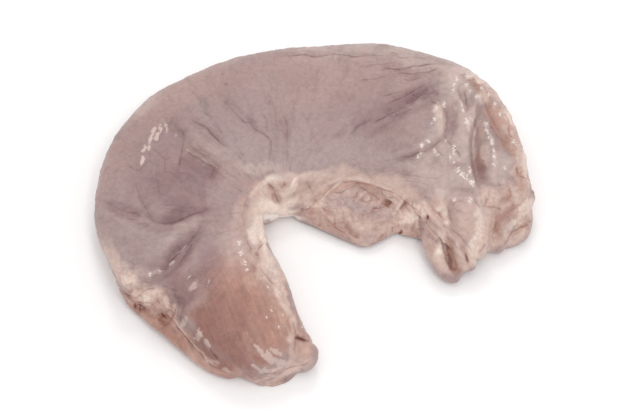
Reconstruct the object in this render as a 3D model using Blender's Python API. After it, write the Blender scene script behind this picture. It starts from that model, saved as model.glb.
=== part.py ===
"""A raw pig's stomach that lies on its side on a table.

The bag bends like a horseshoe. Its muscular outlet end points down and to the right, its wide
blind end lies at the right, and a fatty web hangs under the lip of the inner curve.
X runs to the right, Y away from the viewer and Z up, with the table at Z = 0.
"""

import bmesh
import bpy
import numpy as np
from mathutils import Vector, noise

MM = 0.001

# Overall finish of the surface, in millimetres
VOXEL = 1.7
SOFTENING_ROUNDS = 4
SECTION_SIDES = 48
RINGS_PER_ROW = 8
SECTION_POWER = 2.3
TRIANGLES = 11000
FOOT_SNAP = 0.25
EVEN_ABOVE = 3
EVEN_ROUNDS = 2
EVEN_FACTOR = 0.3

# The bag, as ribs from the outlet to the blind end. Each rib runs from the outer curve to the
# inner curve: x, y, z of the outer rim, x, y, z of the inner rim, and the crown above that line.
BAG_RIBS = (
    (-29, -122, 10, -14, -117, 10, 7),
    (-42, -120, 13, -5, -106, 12, 14),
    (-60, -111, 16, -5, -90, 14, 18),
    (-80, -93, 18, -11, -73, 15, 20),
    (-104, -72, 19, -16, -58, 16, 21),
    (-128, -55, 19, -22, -42, 17, 21),
    (-142, -30, 19, -30, -28, 18, 22),
    (-150, 2, 19, -34, -14, 19, 22),
    (-146, 42, 20, -33, -2, 20, 22),
    (-127, 81, 20, -18, 8, 21, 22),
    (-98, 106, 20, -6, 15, 22, 21),
    (-60, 125, 21, 8, 20, 23, 20),
    (-15, 135, 21, 22, 24, 24, 19),
    (30, 139, 21, 36, 22, 25, 19),
    (72, 132, 22, 54, 14, 25, 21),
    (108, 116, 23, 72, 2, 25, 23),
    (131, 87, 22, 88, -10, 24, 24),
    (144, 48, 21, 102, -20, 22, 22),
    (150, 14, 18, 112, -22, 19, 17),
    (145, -5, 15, 122, -20, 15, 10),
)

# The fatty web under the lip: x, y, z of its upper edge, of its lower edge, and half its thickness.
WEB_RIBS = (
    (-16, 14, 18, -12, 3, 5, 4),
    (2, 20, 22, 7, -6, 5, 5),
    (20, 27, 24, 22, -14, 5, 6),
    (34, 27, 25, 35, -19, 5, 6),
    (46, 22, 24, 47, -14, 5, 6),
    (58, 15, 23, 58, -8, 5, 6),
    (74, 4, 22, 75, -13, 5, 6),
    (82, -2, 21, 83, -14, 6, 6),
)

# The back wall that shows past the front wall's edge beside the outlet, as the web above.
BACK_WALL_RIBS = (
    (-128, -54, 12, -108, -46, 12, 5),
    (-126, -64, 10, -102, -56, 12, 7),
    (-113, -76, 9, -90, -62, 12, 8),
    (-99, -88, 9, -78, -72, 12, 8),
    (-83, -102, 8, -64, -84, 12, 8),
    (-69, -113, 9, -52, -96, 12, 9),
    (-56, -118, 10, -42, -104, 12, 9),
    (-48, -116, 10, -38, -106, 12, 6),
)

# Lobes that swell out of the bag: x, y, z, half width and half height along each one's middle.
LOBES = {
    "outlet": ((-24, -92, 13, 8, 12.5), (-14, -98, 14, 13, 14.5), (-7, -104, 12, 10, 12.5)),
    "ear_floor": ((84, 0, 17, 9, 9), (87, -15, 13, 11, 9), (92, -29, 10, 9, 7), (95, -39, 7, 7, 6)),
    "ear_wall": (
        (85, 6, 17, 7, 8),
        (81, -6, 18, 7, 8),
        (80, -19, 16, 6.5, 9),
        (84, -31, 13, 6, 9),
        (90, -40, 9, 5.5, 7),
        (95, -43, 8, 5, 6),
    ),
    "ear_lobe": ((94, -20, 18, 5, 7), (98, -31, 14, 5, 8), (99, -39, 10, 4.5, 7)),
    "strap": (
        (76, 4, 25, 7, 6),
        (81, -8, 27, 6, 6),
        (88, -17, 27, 5.5, 6),
        (95, -26, 24, 5, 6),
        (102, -33, 19, 4.5, 7),
        (106, -37, 14, 4.5, 7),
    ),
    "knob": ((99, -6, 28, 10, 12), (101, -14, 27, 11, 13), (104, -22, 23, 8.5, 11), (107, -29, 18, 6, 9)),
    "lip_ridge": ((111, 2, 29, 5, 8), (114, -9, 28, 5, 9), (115, -19, 23, 5, 10), (113, -28, 17, 5, 10)),
    "lip_base": ((119, -8, 15, 8, 12), (118, -18, 11, 7, 10)),
    "flap": (
        (147, 12, 17, 6, 9),
        (142, 4, 18, 6.5, 9),
        (137, -4, 17, 6.5, 9),
        (131, -13, 13, 6, 8),
        (126, -20, 9, 5, 7),
    ),
    "flap_foot": ((132, -14, 6, 6, 7), (138, -11, 7, 7, 7.5), (144, -6, 8, 7, 8), (146, 3, 9, 6, 9)),
    "corner_fat": ((-33, 5, 15, 8, 14), (-25, 10, 14, 8.5, 13), (-13, 12, 12, 8, 11)),
}

# Folds pressed into the skin: kind, depth or height, half width, and x, y along each one.
# A step is high on the left of its way and low on its right. A bulge is a ridge whose ends are as
# high as its middle.
RIDGE, HOLLOW, CREASE, STEP, BULGE = "ridge", "hollow", "crease", "step", "bulge"
FOLDS = {
    "deep_fold": (STEP, 8.5, 3.2, ((111, 3), (109, 13), (107, 25), (107, 38), (109, 50), (113, 61), (118, 71))),
    "deep_fold_floor": (HOLLOW, 5, 5, ((117, 66), (113, 53), (111, 39), (111, 26), (113, 14), (115, 4))),
    "fold_roll": (RIDGE, 3.5, 5, ((117, 59), (120, 47), (122, 36), (123, 27), (122, 17))),
    "rim_groove": (HOLLOW, 3.5, 3.5, ((111, 96), (119, 85), (124, 71), (128, 58), (132, 45), (133, 30))),
    "rim_roll": (RIDGE, 2, 4.5, ((117, 99), (126, 92), (134, 75), (140, 57), (144, 40), (147, 25))),
    "small_roll": (RIDGE, 3.5, 3.5, ((109, 87), (115, 83), (113, 72), (110, 64))),
    "small_groove": (HOLLOW, 3.2, 2.8, ((104, 92), (104, 82), (105, 70), (107, 59), (108, 52))),
    "small_ridge": (RIDGE, 3.5, 4.5, ((99, 80), (102, 68), (102, 56), (101, 43))),
    "mound": (BULGE, 6, 13, ((66, 50), (80, 55))),
    "mound_edge": (STEP, 5, 3.5, ((87, 37), (89, 48), (89, 60), (88, 71), (84, 80))),
    "mound_groove": (HOLLOW, 2.6, 4, ((97, 77), (95, 66), (93, 55), (91, 44))),
    "mound_foot": (STEP, 6, 3.2, ((54, 30), (66, 31), (78, 36), (89, 42), (94, 48))),
    "long_hollow": (HOLLOW, 5.5, 9, ((27, 51), (45, 59), (63, 71), (86, 84))),
    "knob_edge": (HOLLOW, 3, 2.8, ((109, -1), (104, 2), (97, 3), (91, 0), (88, -7), (88, -15))),
    "flap_groove": (HOLLOW, 4.5, 4.5, ((133, 1), (128, -6), (124, -14), (122, -22))),
    "flap_crease": (CREASE, 4, 2.2, ((151, -3), (145, -8), (138, -13), (132, -20))),
    "ear_slit": (CREASE, 3, 2, ((88, -20), (90, -29), (93, -37), (96, -43))),
    "left_valley": (HOLLOW, 5, 6, ((-142, 2), (-126, -9), (-111, -17), (-98, -20), (-81, -16), (-68, -8))),
    "left_branch": (HOLLOW, 1.8, 3, ((-119, 3), (-115, -7), (-109, -17))),
    "second_valley": (HOLLOW, 5.5, 5.5, ((-73, -17), (-82, -34), (-91, -47), (-99, -55), (-107, -61))),
    "dark_hollow": (HOLLOW, 3.5, 9, ((-90, 31), (-77, 22), (-65, 17))),
    "wide_hollow": (HOLLOW, 3, 12, ((-100, 10), (-86, 2), (-72, 3))),
    "pillow": (RIDGE, 3, 5, ((-86, 43), (-74, 36), (-62, 29))),
    "pillow_edge": (STEP, 3, 3, ((-88, 35), (-77, 30), (-64, 23))),
    "pillow_groove": (HOLLOW, 1.8, 3, ((-86, 64), (-73, 51), (-60, 38))),
    "fan_groove_a": (HOLLOW, 1.2, 2.5, ((-63, 79), (-47, 61), (-35, 46))),
    "fan_groove_b": (HOLLOW, 1.2, 2.5, ((-21, 65), (-18, 48), (-19, 30))),
    "left_roll": (RIDGE, 1.8, 4, ((-102, 61), (-111, 44), (-118, 28))),
    "left_groove": (HOLLOW, 1.8, 3.5, ((-102, 69), (-96, 55), (-89, 43))),
    "fat_lump_a": (RIDGE, 3.5, 6, ((-130, -49), (-123, -58), (-115, -65))),
    "fat_lump_b": (RIDGE, 3, 5, ((-114, -66), (-104, -70), (-95, -77))),
    "wall_edge": (CREASE, 4, 3, ((-131, -57), (-119, -68), (-95, -79), (-79, -95), (-62, -113), (-52, -118))),
    "wall_dent_a": (HOLLOW, 4, 3, ((-119, -68), (-116, -73))),
    "wall_dent_b": (HOLLOW, 4, 3, ((-101, -77), (-96, -83))),
    "outlet_edge": (HOLLOW, 3, 3, ((-17, -80), (-13, -91), (-11, -101), (-15, -110))),
    "outlet_slit": (CREASE, 5, 2.5, ((-11, -96), (-7, -97), (-3, -97))),
    "bottom_lip": (CREASE, 3, 3, ((-38, -123), (-27, -122), (-16, -118), (-6, -113))),
    "fat_strip": (CREASE, 3, 2.5, ((-44, -30), (-37, -41), (-35, -52), (-27, -61), (-17, -72))),
    "loop_crease": (CREASE, 3.5, 2, ((-32, 12), (-29, 12), (-27, 8), (-25, 5), (-23, 2))),
    "loop_rim": (RIDGE, 2, 2.5, ((-45, -2), (-40, 7), (-35, 13), (-29, 16), (-23, 17), (-19, 15))),
    "loop_notch": (CREASE, 2, 2, ((-20, 15), (-19, 13), (-21, 10))),
    "loop_lip": (RIDGE, 2, 2.5, ((-11, 21), (-14, 17), (-17, 11), (-20, 7), (-22, 3))),
    "corner_groove": (HOLLOW, 1, 3, ((-5, 21), (-3, 17), (0, 13))),
    "corner_crease": (CREASE, 2.5, 2, ((-7, 5), (-3, 7), (0, 9), (3, 11), (7, 14))),
    "lip_edge": (STEP, 3.5, 2.5, ((18, 21), (30, 20), (42, 17), (53, 11), (62, 5), (70, -3), (75, -9))),
    "web_pocket": (HOLLOW, 2.5, 4, ((25, 15), (35, 12), (45, 9))),
    "web_hole": (HOLLOW, 3, 3, ((50, 4), (52, 8))),
    "web_ridge": (RIDGE, 3, 2.5, ((61, 6), (57, 2), (53, -2))),
    "web_lump": (RIDGE, 2.5, 5, ((58, -7), (64, -5), (70, -8))),
    "web_crease": (CREASE, 2.5, 2, ((22, -5), (23, -8), (26, -12), (31, -15))),
    "web_strand": (RIDGE, 2, 2, ((19, 20), (12, 15), (5, 9), (0, 3))),
    "far_edge": (STEP, 2, 3, ((80, 119), (55, 117), (26, 121), (5, 128), (-20, 126))),
}
UNEVEN = ((34, 1.4), (13, 0.5))
LUMP_SIZE = 7.0
LUMP_HEIGHT = 1.3

# Where fat makes the skin lumpy: x, y of the middle of each patch and its reach.
FATTY = (
    (8, 1, 13),
    (24, 1, 16),
    (42, 0, 17),
    (58, -3, 13),
    (70, -9, 10),
    (144, 45, 11),
    (147, 22, 12),
    (136, 70, 9),
    (128, 88, 8),
    (136, 6, 13),
    (142, -6, 12),
    (-124, -58, 14),
    (-98, -74, 12),
    (-22, -58, 12),
)


def smooth_rows(rows, count):
    """Points on a smooth curve through the rows, with count steps from each row to the next."""
    rows = np.array(rows, float)
    padded = np.vstack([2 * rows[0] - rows[1], rows, 2 * rows[-1] - rows[-2]])
    found = []
    for i in range(len(rows) - 1):
        a, b, c, d = padded[i : i + 4]
        for t in np.linspace(0, 1, count, endpoint=False):
            found.append(
                b
                + 0.5 * t * (c - a)
                + 0.5 * t * t * (2 * a - 5 * b + 4 * c - d)
                + 0.5 * t**3 * (3 * b - a - 3 * c + d)
            )
    return np.array(found + [rows[-1]])


def section():
    """Across and up values, from -1 to 1, of the rounded outline that every section shares."""
    angle = np.linspace(0, 2 * np.pi, SECTION_SIDES, endpoint=False)
    across, up = np.cos(angle), np.sin(angle)
    power = 2 / SECTION_POWER
    return np.sign(across) * np.abs(across) ** power, np.sign(up) * np.abs(up) ** power


def add_skin(mesh, rings):
    """Adds one closed body to the bmesh from rings of points that run along it."""
    made = [[mesh.verts.new(Vector(p) * MM) for p in ring] for ring in rings]
    sides = len(rings[0])
    for near, far in zip(made, made[1:]):
        for i in range(sides):
            j = (i + 1) % sides
            mesh.faces.new((near[i], far[i], far[j], near[j]))
    mesh.faces.new(made[0])
    mesh.faces.new(made[-1][::-1])


def add_lofted(mesh, rows, crowned):
    """Adds a body between two edges. A crowned one reaches under the table and is cut flat there."""
    across, up = section()
    rings = []
    for row in smooth_rows(rows, RINGS_PER_ROW):
        outer, inner, swell = row[:3], row[3:6], row[6]
        spine = (outer + inner) / 2 + np.outer(across, (outer - inner) / 2)
        if crowned:
            height = np.where(up > 0, swell * up, (spine[:, 2] + 4) * up)
        else:
            height = swell * up
        spine[:, 2] += height
        rings.append(spine)
    add_skin(mesh, rings)


def add_lobe(mesh, rows):
    """Adds a lobe: a tube with an oval section that closes in a round nose at each end."""
    middle = smooth_rows(rows, RINGS_PER_ROW)
    across, up = section()
    along = np.gradient(middle[:, :2], axis=0)
    along /= np.linalg.norm(along, axis=1)[:, None]
    side = np.stack([-along[:, 1], along[:, 0]], axis=1)
    noses = [
        (middle[0], side[0], -along[0]),
        (middle[-1], side[-1], along[-1]),
    ]
    rings = [oval(row, turn, across, up) for row, turn in zip(middle, side)]
    start, end = [
        [oval(nose_row(row, out, t), turn, across, up) for t in (0.35, 0.65, 0.88, 0.98)]
        for row, turn, out in noses
    ]
    add_skin(mesh, start[::-1] + rings + end)


def oval(row, turn, across, up):
    """One ring of a lobe, square to its middle line in plan."""
    x, y, z, wide, high = row
    return np.stack(
        [x + turn[0] * wide * across, y + turn[1] * wide * across, z + high * up], axis=1
    )


def nose_row(row, out, t):
    """A lobe's end row moved a share t out along its round nose."""
    x, y, z, wide, high = row
    shrink = np.sqrt(1 - t * t)
    return x + out[0] * wide * t, y + out[1] * wide * t, z, wide * shrink, high * shrink


def nearest_on(fold, points):
    """For each point, in plan: the signed distance to a fold's line and the share of its length."""
    line = smooth_rows(fold, 8)
    span = np.linalg.norm(np.diff(line, axis=0), axis=1)
    share = np.concatenate([[0], np.cumsum(span)]) / span.sum()
    best = np.full(len(points), 1e9)
    side = np.zeros(len(points))
    along = np.zeros(len(points))
    for a, b, s, t in zip(line, line[1:], share, share[1:]):
        way = b - a
        off = points[:, :2] - a
        step = np.clip(off @ way / (way @ way), 0, 1)
        gap = np.linalg.norm(off - step[:, None] * way, axis=1)
        turn = way[0] * off[:, 1] - way[1] * off[:, 0]
        near = gap < best
        best[near] = gap[near]
        side[near] = np.sign(turn[near])
        along[near] = (s + step * (t - s))[near]
    return best, side, along


def fold_height(kind, size, width, line, points):
    """How far one fold lifts each point."""
    gap, side, along = nearest_on(line, points)
    fade = 1 if kind == BULGE else np.minimum(1, 5 * np.minimum(along, 1 - along) + 0.15)
    if kind == STEP:
        shape = 0.5 * np.tanh(side * gap / (0.5 * width)) * np.exp(-gap / (2.2 * width))
    elif kind == CREASE:
        shape = -np.exp(-gap / width)
    else:
        shape = np.exp(-((gap / width) ** 2)) * (-1 if kind == HOLLOW else 1)
    return size * fade * shape


def noise_at(points, scale):
    return np.array([noise.noise(Vector(p) / scale) for p in points])


def fattiness(points):
    """From 0 to 1, how fatty the skin is at each point."""
    found = np.zeros(len(points))
    for x, y, reach in FATTY:
        gap = np.hypot(points[:, 0] - x, points[:, 1] - y) / reach
        found = np.maximum(found, np.exp(-(gap**4)))
    return found


def fold_skin(body):
    """Lifts and sinks the skin by its folds, its fat lumps and its slight unevenness."""
    points = points_of(body)
    normals = np.empty(len(points) * 3, np.float32)
    body.data.vertices.foreach_get("normal", normals)
    normals = normals.reshape(-1, 3)
    height = np.zeros(len(points))
    for kind, size, width, line in FOLDS.values():
        height += fold_height(kind, size, width, line, points)
    for scale, size in UNEVEN:
        height += size * noise_at(points, scale)
    lumps = LUMP_HEIGHT * fattiness(points) * np.clip(1.6 * normals[:, 2], 0.2, 1)
    height += lumps * np.abs(noise_at(points, LUMP_SIZE)) * 2
    upward = np.clip((normals[:, 2] + 0.55) / 0.5, 0, 1)
    put_points(body, points + normals * (height * upward)[:, None])


def clear_scene():
    for item in list(bpy.data.objects):
        bpy.data.objects.remove(item)


def object_from(mesh, name):
    data = bpy.data.meshes.new(name)
    mesh.to_mesh(data)
    mesh.free()
    made = bpy.data.objects.new(name, data)
    bpy.context.scene.collection.objects.link(made)
    return made


def bake_modifiers(item):
    """Replaces the object's mesh by the one that its modifiers make."""
    graph = bpy.context.evaluated_depsgraph_get()
    made = bpy.data.meshes.new_from_object(item.evaluated_get(graph))
    item.modifiers.clear()
    item.data = made


def fused_body():
    """All the bodies grown into one skin, softened where they meet."""
    mesh = bmesh.new()
    add_lofted(mesh, BAG_RIBS, crowned=True)
    add_lofted(mesh, WEB_RIBS, crowned=False)
    add_lofted(mesh, BACK_WALL_RIBS, crowned=False)
    for rows in LOBES.values():
        add_lobe(mesh, rows)
    bmesh.ops.recalc_face_normals(mesh, faces=mesh.faces)
    body = object_from(mesh, "stomach")
    fuse = body.modifiers.new("fuse", "REMESH")
    fuse.mode = "VOXEL"
    fuse.voxel_size = VOXEL * MM
    soften = body.modifiers.new("soften", "SMOOTH")
    soften.iterations = SOFTENING_ROUNDS
    soften.factor = 0.5
    bake_modifiers(body)
    return body


def points_of(body):
    points = np.empty(len(body.data.vertices) * 3, np.float32)
    body.data.vertices.foreach_get("co", points)
    return points.reshape(-1, 3).astype(float) / MM


def put_points(body, points):
    body.data.vertices.foreach_set("co", (points * MM).astype(np.float32).ravel())
    body.data.update()


def rest_on_table(body):
    """Cuts the underside flat at the table."""
    points = points_of(body)
    points[:, 2] = np.where(points[:, 2] < FOOT_SNAP, 0, points[:, 2])
    put_points(body, points)


def centre(body):
    """Puts the origin under the middle of the stomach."""
    points = points_of(body)
    points[:, :2] -= (points[:, :2].min(axis=0) + points[:, :2].max(axis=0)) / 2
    put_points(body, points)


def thin_out(body):
    """Spends the triangles where the surface bends."""
    body.data.calc_loop_triangles()
    thin = body.modifiers.new("thin", "DECIMATE")
    thin.ratio = TRIANGLES / len(body.data.loop_triangles)
    thin.use_collapse_triangulate = True
    bake_modifiers(body)


def even_out(body):
    """Softens the thinned skin a little, and leaves the flat underside as it is."""
    above = body.vertex_groups.new(name="above the table")
    points = points_of(body)
    above.add([i for i in range(len(points)) if points[i, 2] > EVEN_ABOVE], 1, "REPLACE")
    even = body.modifiers.new("even", "SMOOTH")
    even.vertex_group = above.name
    even.iterations = EVEN_ROUNDS
    even.factor = EVEN_FACTOR
    bake_modifiers(body)


def tissue():
    material = bpy.data.materials.new("tissue")
    material.use_nodes = True
    shader = material.node_tree.nodes["Principled BSDF"]
    shader.inputs["Base Color"].default_value = (0.47, 0.32, 0.29, 1)
    shader.inputs["Roughness"].default_value = 0.35
    shader.inputs["Metallic"].default_value = 0
    return material


def main():
    clear_scene()
    body = fused_body()
    fold_skin(body)
    rest_on_table(body)
    thin_out(body)
    even_out(body)
    rest_on_table(body)
    centre(body)
    body.data.shade_smooth()
    body.data.materials.append(tissue())


main()
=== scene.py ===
"""The looks of a raw pig's stomach: its fine skin, folds, wrinkles, wet tissue and studio light.

The fine skin repeats the forms of the part's source in millimetres, finer, and then adds wrinkles.
Wrinkles and tints are placed by the photograph's pixels, in its frame of 624 by 416, through the
same camera that the scene uses, so each one lies on the skin that the camera sees there.
"""

import math

import bmesh
import bpy
import numpy as np
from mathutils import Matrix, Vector, noise


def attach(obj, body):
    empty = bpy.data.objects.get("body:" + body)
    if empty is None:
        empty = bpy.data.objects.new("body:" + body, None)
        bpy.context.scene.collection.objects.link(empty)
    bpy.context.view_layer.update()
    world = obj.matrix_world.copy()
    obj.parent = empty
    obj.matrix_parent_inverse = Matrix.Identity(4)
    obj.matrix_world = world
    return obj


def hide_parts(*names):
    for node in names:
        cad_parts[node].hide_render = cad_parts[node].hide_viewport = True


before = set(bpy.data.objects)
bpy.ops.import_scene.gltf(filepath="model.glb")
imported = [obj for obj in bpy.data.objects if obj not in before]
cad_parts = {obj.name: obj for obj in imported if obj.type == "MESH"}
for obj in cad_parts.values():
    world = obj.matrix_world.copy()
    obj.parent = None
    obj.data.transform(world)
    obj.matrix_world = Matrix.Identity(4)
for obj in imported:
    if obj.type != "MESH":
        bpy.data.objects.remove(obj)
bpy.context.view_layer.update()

MM = 0.001

# The camera, in millimetres and in the ribs' coordinates, and the photograph's size in pixels
AIM = np.array([-1.0, 6.0, 15.0])
DISTANCE = 1015.0
ELEVATION = math.radians(60)
LENS = 85.0
SENSOR = 36.0
PHOTO_WIDTH, PHOTO_HEIGHT = 624, 416

# The way back from what it sees, its right and its up, its eye, and its focal length in pixels
BACK = np.array([0.0, -math.cos(ELEVATION), math.sin(ELEVATION)])
RIGHT = np.array([1.0, 0.0, 0.0])
UP = np.cross(BACK, RIGHT)
EYE = AIM + DISTANCE * BACK
FOCAL = LENS / SENSOR * PHOTO_WIDTH

# Sides of a section, rings from one row to the next, and how square a section's corners are
SECTION_SIDES = 96
RINGS_PER_ROW = 16
SECTION_POWER = 2.3

# The voxels that fuse the bodies, in millimetres, the rounds of softening, the triangles left at
# the end, and how readily and how strongly the skin in view is spared
VOXEL = 0.62
SOFTENING_ROUNDS = 28
TRIANGLES = 196000
SPARE_SEEN = 0.5
SPARE_PULL = 2e-5

# Skin lower than the first is cut flat at the table, and skin that faces up is kept as high as
# the second, in millimetres
FOOT_SNAP = 0.25
FOOT_EDGE = 0.8

# Fine texture that covers the skin, in millimetres: crepe, and pebbles in the fat
CREPE_SIZE = 6.0
CREPE_HEIGHT = 0.15
HIDDEN_CREPE = 0.35
PEBBLE_SIZE = 3.2
PEBBLE_HEIGHT = 0.35

# The share of pebbles, of the fields' tints and of the fat's grain on the sides out of view
HIDDEN_PEBBLES = 0.2
HIDDEN_TINT = 0.5
HIDDEN_FAT = 0.4

# The share of a wrinkle's depth that smooth skin and fat take, how deep wrinkles go together in
# millimetres, a wrinkle's least half width in pixels, and how much its depth varies
SKIN_DEPTH = 0.35
FAT_DEPTH = 0.75
DEEPEST = -1.1
SOFT_WIDTH = 1.7
DEPTH_CHANGE = 0.9

# How squarely the skin faces the camera where it starts to be seen, and where it is seen well
FACING = (0.05, 0.35)

# A crease's line of painted shade: the depth at which it is darkest, how far out it is known and full, in
# half widths, and the painted shade it multiplies into the colour of skin and of fat, where the fat's
# marbling takes the same colour
CREASE_SHADE_DEPTH = 2.2
FAR_SIDE = 4.0
NEAR_SIDE = 2.0
SKIN_CREASE_SHADE = (0.50, 0.33, 0.36)
FAT_MARBLING_AND_CREASE_SHADE = (0.56, 0.32, 0.26)

# Painted light: how much lighter the skin's colour is painted where it turns away from above, and the
# lightest it can be
PAINTED_SIDE_LIGHT = 0.1
PAINTED_SIDE_POWER = 1.5
LIGHTEST = 0.96

# How far fat's hollows are painted brown and skin's hollows the tone of lines, as painted shade, how far
# ridges are painted cream, as a painted highlight, and how high such a ridge is, in millimetres
FAT_HOLLOW_SHADE = 0.6
SKIN_HOLLOW_SHADE = 0.5
RIDGE_HIGHLIGHT = 0.22
RIDGE_FULL = 1.2

# Patches under all the fields: tone, size in millimetres, the noise's shift, and where they start
# and are full
BASE_PATCHES = (("pink", 26, 210, -0.2, 0.5), ("grey", 21, 320, 0.0, 0.6))
PATCH_SHARE = 0.5

# How far wrinkles wander, in pixels, and the length of one wave, in millimetres
WANDER = 1.3
WANDER_WAVE = 7.0

# A low lobe that only the skin has, under the outlet's tip, in the same way as the lobes below
TIP_FOOT = ((-34, -115.8, 3, 5.5, 4), (-27, -114.6, 3, 5.5, 4), (-20.5, -112.2, 3, 5.5, 4))

# Fat that only the skin shows: x, y of the middle of each patch and its reach
SKIN_FAT = (
    (121, -2, 10), (121, -17, 9), (111, -22, 7), (118, 99, 8), (134, 77, 8), (141, 58, 9),
    (149, 8, 10),
)

# Faint lines that run out from the inner corner: its place, how many lines there are in half a
# turn, and how long their waves are, in pixels
FAN_MIDDLE = np.array([283.0, 212.0])
FAN_LINES = 42
FAN_WAVE = 30

# How far the edges of fields and of marks wander, in pixels, the sizes of the noises that move
# them, in millimetres, and how much these noises change the skin's lightness
FIELD_WARP = 12.0
FINE_WARP = 3.0
PATCH_WARP = 2.0
WIDE_NOISE = 17
FINE_NOISE = 4.5
WIDE_MOTTLE = 0.03
FINE_MOTTLE = 0.05

# Where a field starts and is full, and where its muscle does: 0 in its middle, -1 on its edge
FIELD_EDGE = (-1.35, -0.45)
MUSCLE_EDGE = (-1.2, -0.6)

# How ragged the clear edges of marks are, as a share of their size, and how soft
RAGGED = 2.6
MARK_EDGE = (-0.16, 0.2)

# The muscle's streaks: their turn in plan, and how fine they are along, across and through
STREAK_TURN = math.radians(68)
STREAK_STRETCH = (26, 380, 220)

# The tissue's patterns: waves to a metre, detail, and which range of the noise goes to which
# range of values
PATTERNS = {
    "mottling": (310, 4, 0.3, 0.7, 0.93, 1.07),
    "specks": (1100, 2, 0.35, 0.65, -0.035, 0.035),
    "fat grains": (420, 3, 0.32, 0.68, -0.5, 0.5),
    "dull spots": (120, 3, 0.3, 0.7, 0.38, 0.52),
}

# Thin winding lines: waves to a metre, and which range of the way off a line goes to which values
THREADS = {"veins": (75, 0, 0.022, 0.10, 0), "marbling": (150, 0, 0.035, 0.3, 0)}

# Other such ranges, from a noise, from the way off a crease in half widths, for its painted shade, and
# from wetness, for the painted glints and the wet coat
FAN_LIGHT = (0.52, 0.7, 0, 0.16)
STREAK_LIGHT = (0.3, 0.7, -0.13, 0.13)
CREASE_SHADE_PROFILE = (0.05, 0.9, 1, 0)
GLINT = (0.86, 0.97, 0, 0.75)
COAT = (0.15, 0.5, 0.12, 1)

# Noises in waves to a metre: of the marks' edges, the painted glints, the skin's grit and the wet coat's
EDGES, GLINTING, GRIT, WET_GRIT = 330, 750, 700, 520
GLINT_WET = 0.5

# How much the fat's grains lighten it, and how far lines, pale marks and grains rise in the bump
GRAIN_LIGHT = 0.16
LINE_RISE, MARK_RISE, GRAIN_RISE = -1.6, 0.4, 1.3

# The bumps of the skin and of its wet coat: strength, and height in metres
SKIN_BUMP = (0.4, 0.0006)
COAT_BUMP = (1.0, 0.0009)
TISSUE_SETTINGS = {
    "Coat Roughness": 0.12,
    "Coat IOR": 1.45,
    "IOR": 1.4,
    "Subsurface Weight": 0.12,
    "Subsurface Radius": (1.0, 0.38, 0.28),
    "Subsurface Scale": 0.002,
}

# Studio, in metres and watts: name, place, width, power and colour of each light
LIGHTS = (
    ("softbox", (0.0, -0.1, 1.2), 1.0, 2.4, (1.0, 0.985, 0.97)),
    ("key", (0.25, -0.45, 1.0), 0.2, 1.2, (1.0, 1.0, 1.0)),
    ("glow", (0.0, 0.6, 0.95), 0.3, 1.5, (1.0, 1.0, 1.0)),
)
WORLD_LIGHT = 0.768
FLOOR_SETTINGS = {"Base Color": (1, 1, 1, 1), "Roughness": 1, "Specular IOR Level": 0}
FLOOR_SIDE = 6.0
FLOOR_GAP = 0.0003

# The bag, as ribs from the outlet to the blind end. Each rib runs from the outer curve to the
# inner curve: x, y, z of the outer rim, x, y, z of the inner rim, and the crown above that line.
BAG_RIBS = (
    (-29, -122, 10, -14, -117, 10, 7),
    (-42, -120, 13, -5, -106, 12, 14),
    (-60, -111, 16, -5, -90, 14, 18),
    (-80, -93, 18, -11, -73, 15, 20),
    (-104, -72, 19, -16, -58, 16, 21),
    (-128, -55, 19, -22, -42, 17, 21),
    (-142, -30, 19, -30, -28, 18, 22),
    (-150, 2, 19, -34, -14, 19, 22),
    (-146, 42, 20, -33, -2, 20, 22),
    (-127, 81, 20, -18, 8, 21, 22),
    (-98, 106, 20, -6, 15, 22, 21),
    (-60, 125, 21, 8, 20, 23, 20),
    (-15, 135, 21, 22, 24, 24, 19),
    (30, 139, 21, 36, 22, 25, 19),
    (72, 132, 22, 54, 14, 25, 21),
    (108, 116, 23, 72, 2, 25, 23),
    (131, 87, 22, 88, -10, 24, 24),
    (144, 48, 21, 102, -20, 22, 22),
    (150, 14, 18, 112, -22, 19, 17),
    (145, -5, 15, 122, -20, 15, 10),
)

# The fatty web under the lip: x, y, z of its upper edge, of its lower edge, and half its thickness.
WEB_RIBS = (
    (-16, 14, 18, -12, 3, 5, 4),
    (2, 20, 22, 7, -6, 5, 5),
    (20, 27, 24, 22, -14, 5, 6),
    (34, 27, 25, 35, -19, 5, 6),
    (46, 22, 24, 47, -14, 5, 6),
    (58, 15, 23, 58, -8, 5, 6),
    (74, 4, 22, 75, -13, 5, 6),
    (82, -2, 21, 83, -14, 6, 6),
)

# The back wall that shows past the front wall's edge beside the outlet, as the web above.
BACK_WALL_RIBS = (
    (-128, -54, 12, -108, -46, 12, 5),
    (-126, -64, 10, -102, -56, 12, 7),
    (-113, -76, 9, -90, -62, 12, 8),
    (-99, -88, 9, -78, -72, 12, 8),
    (-83, -102, 8, -64, -84, 12, 8),
    (-69, -113, 9, -52, -96, 12, 9),
    (-56, -118, 10, -42, -104, 12, 9),
    (-48, -116, 10, -38, -106, 12, 6),
)

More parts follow.
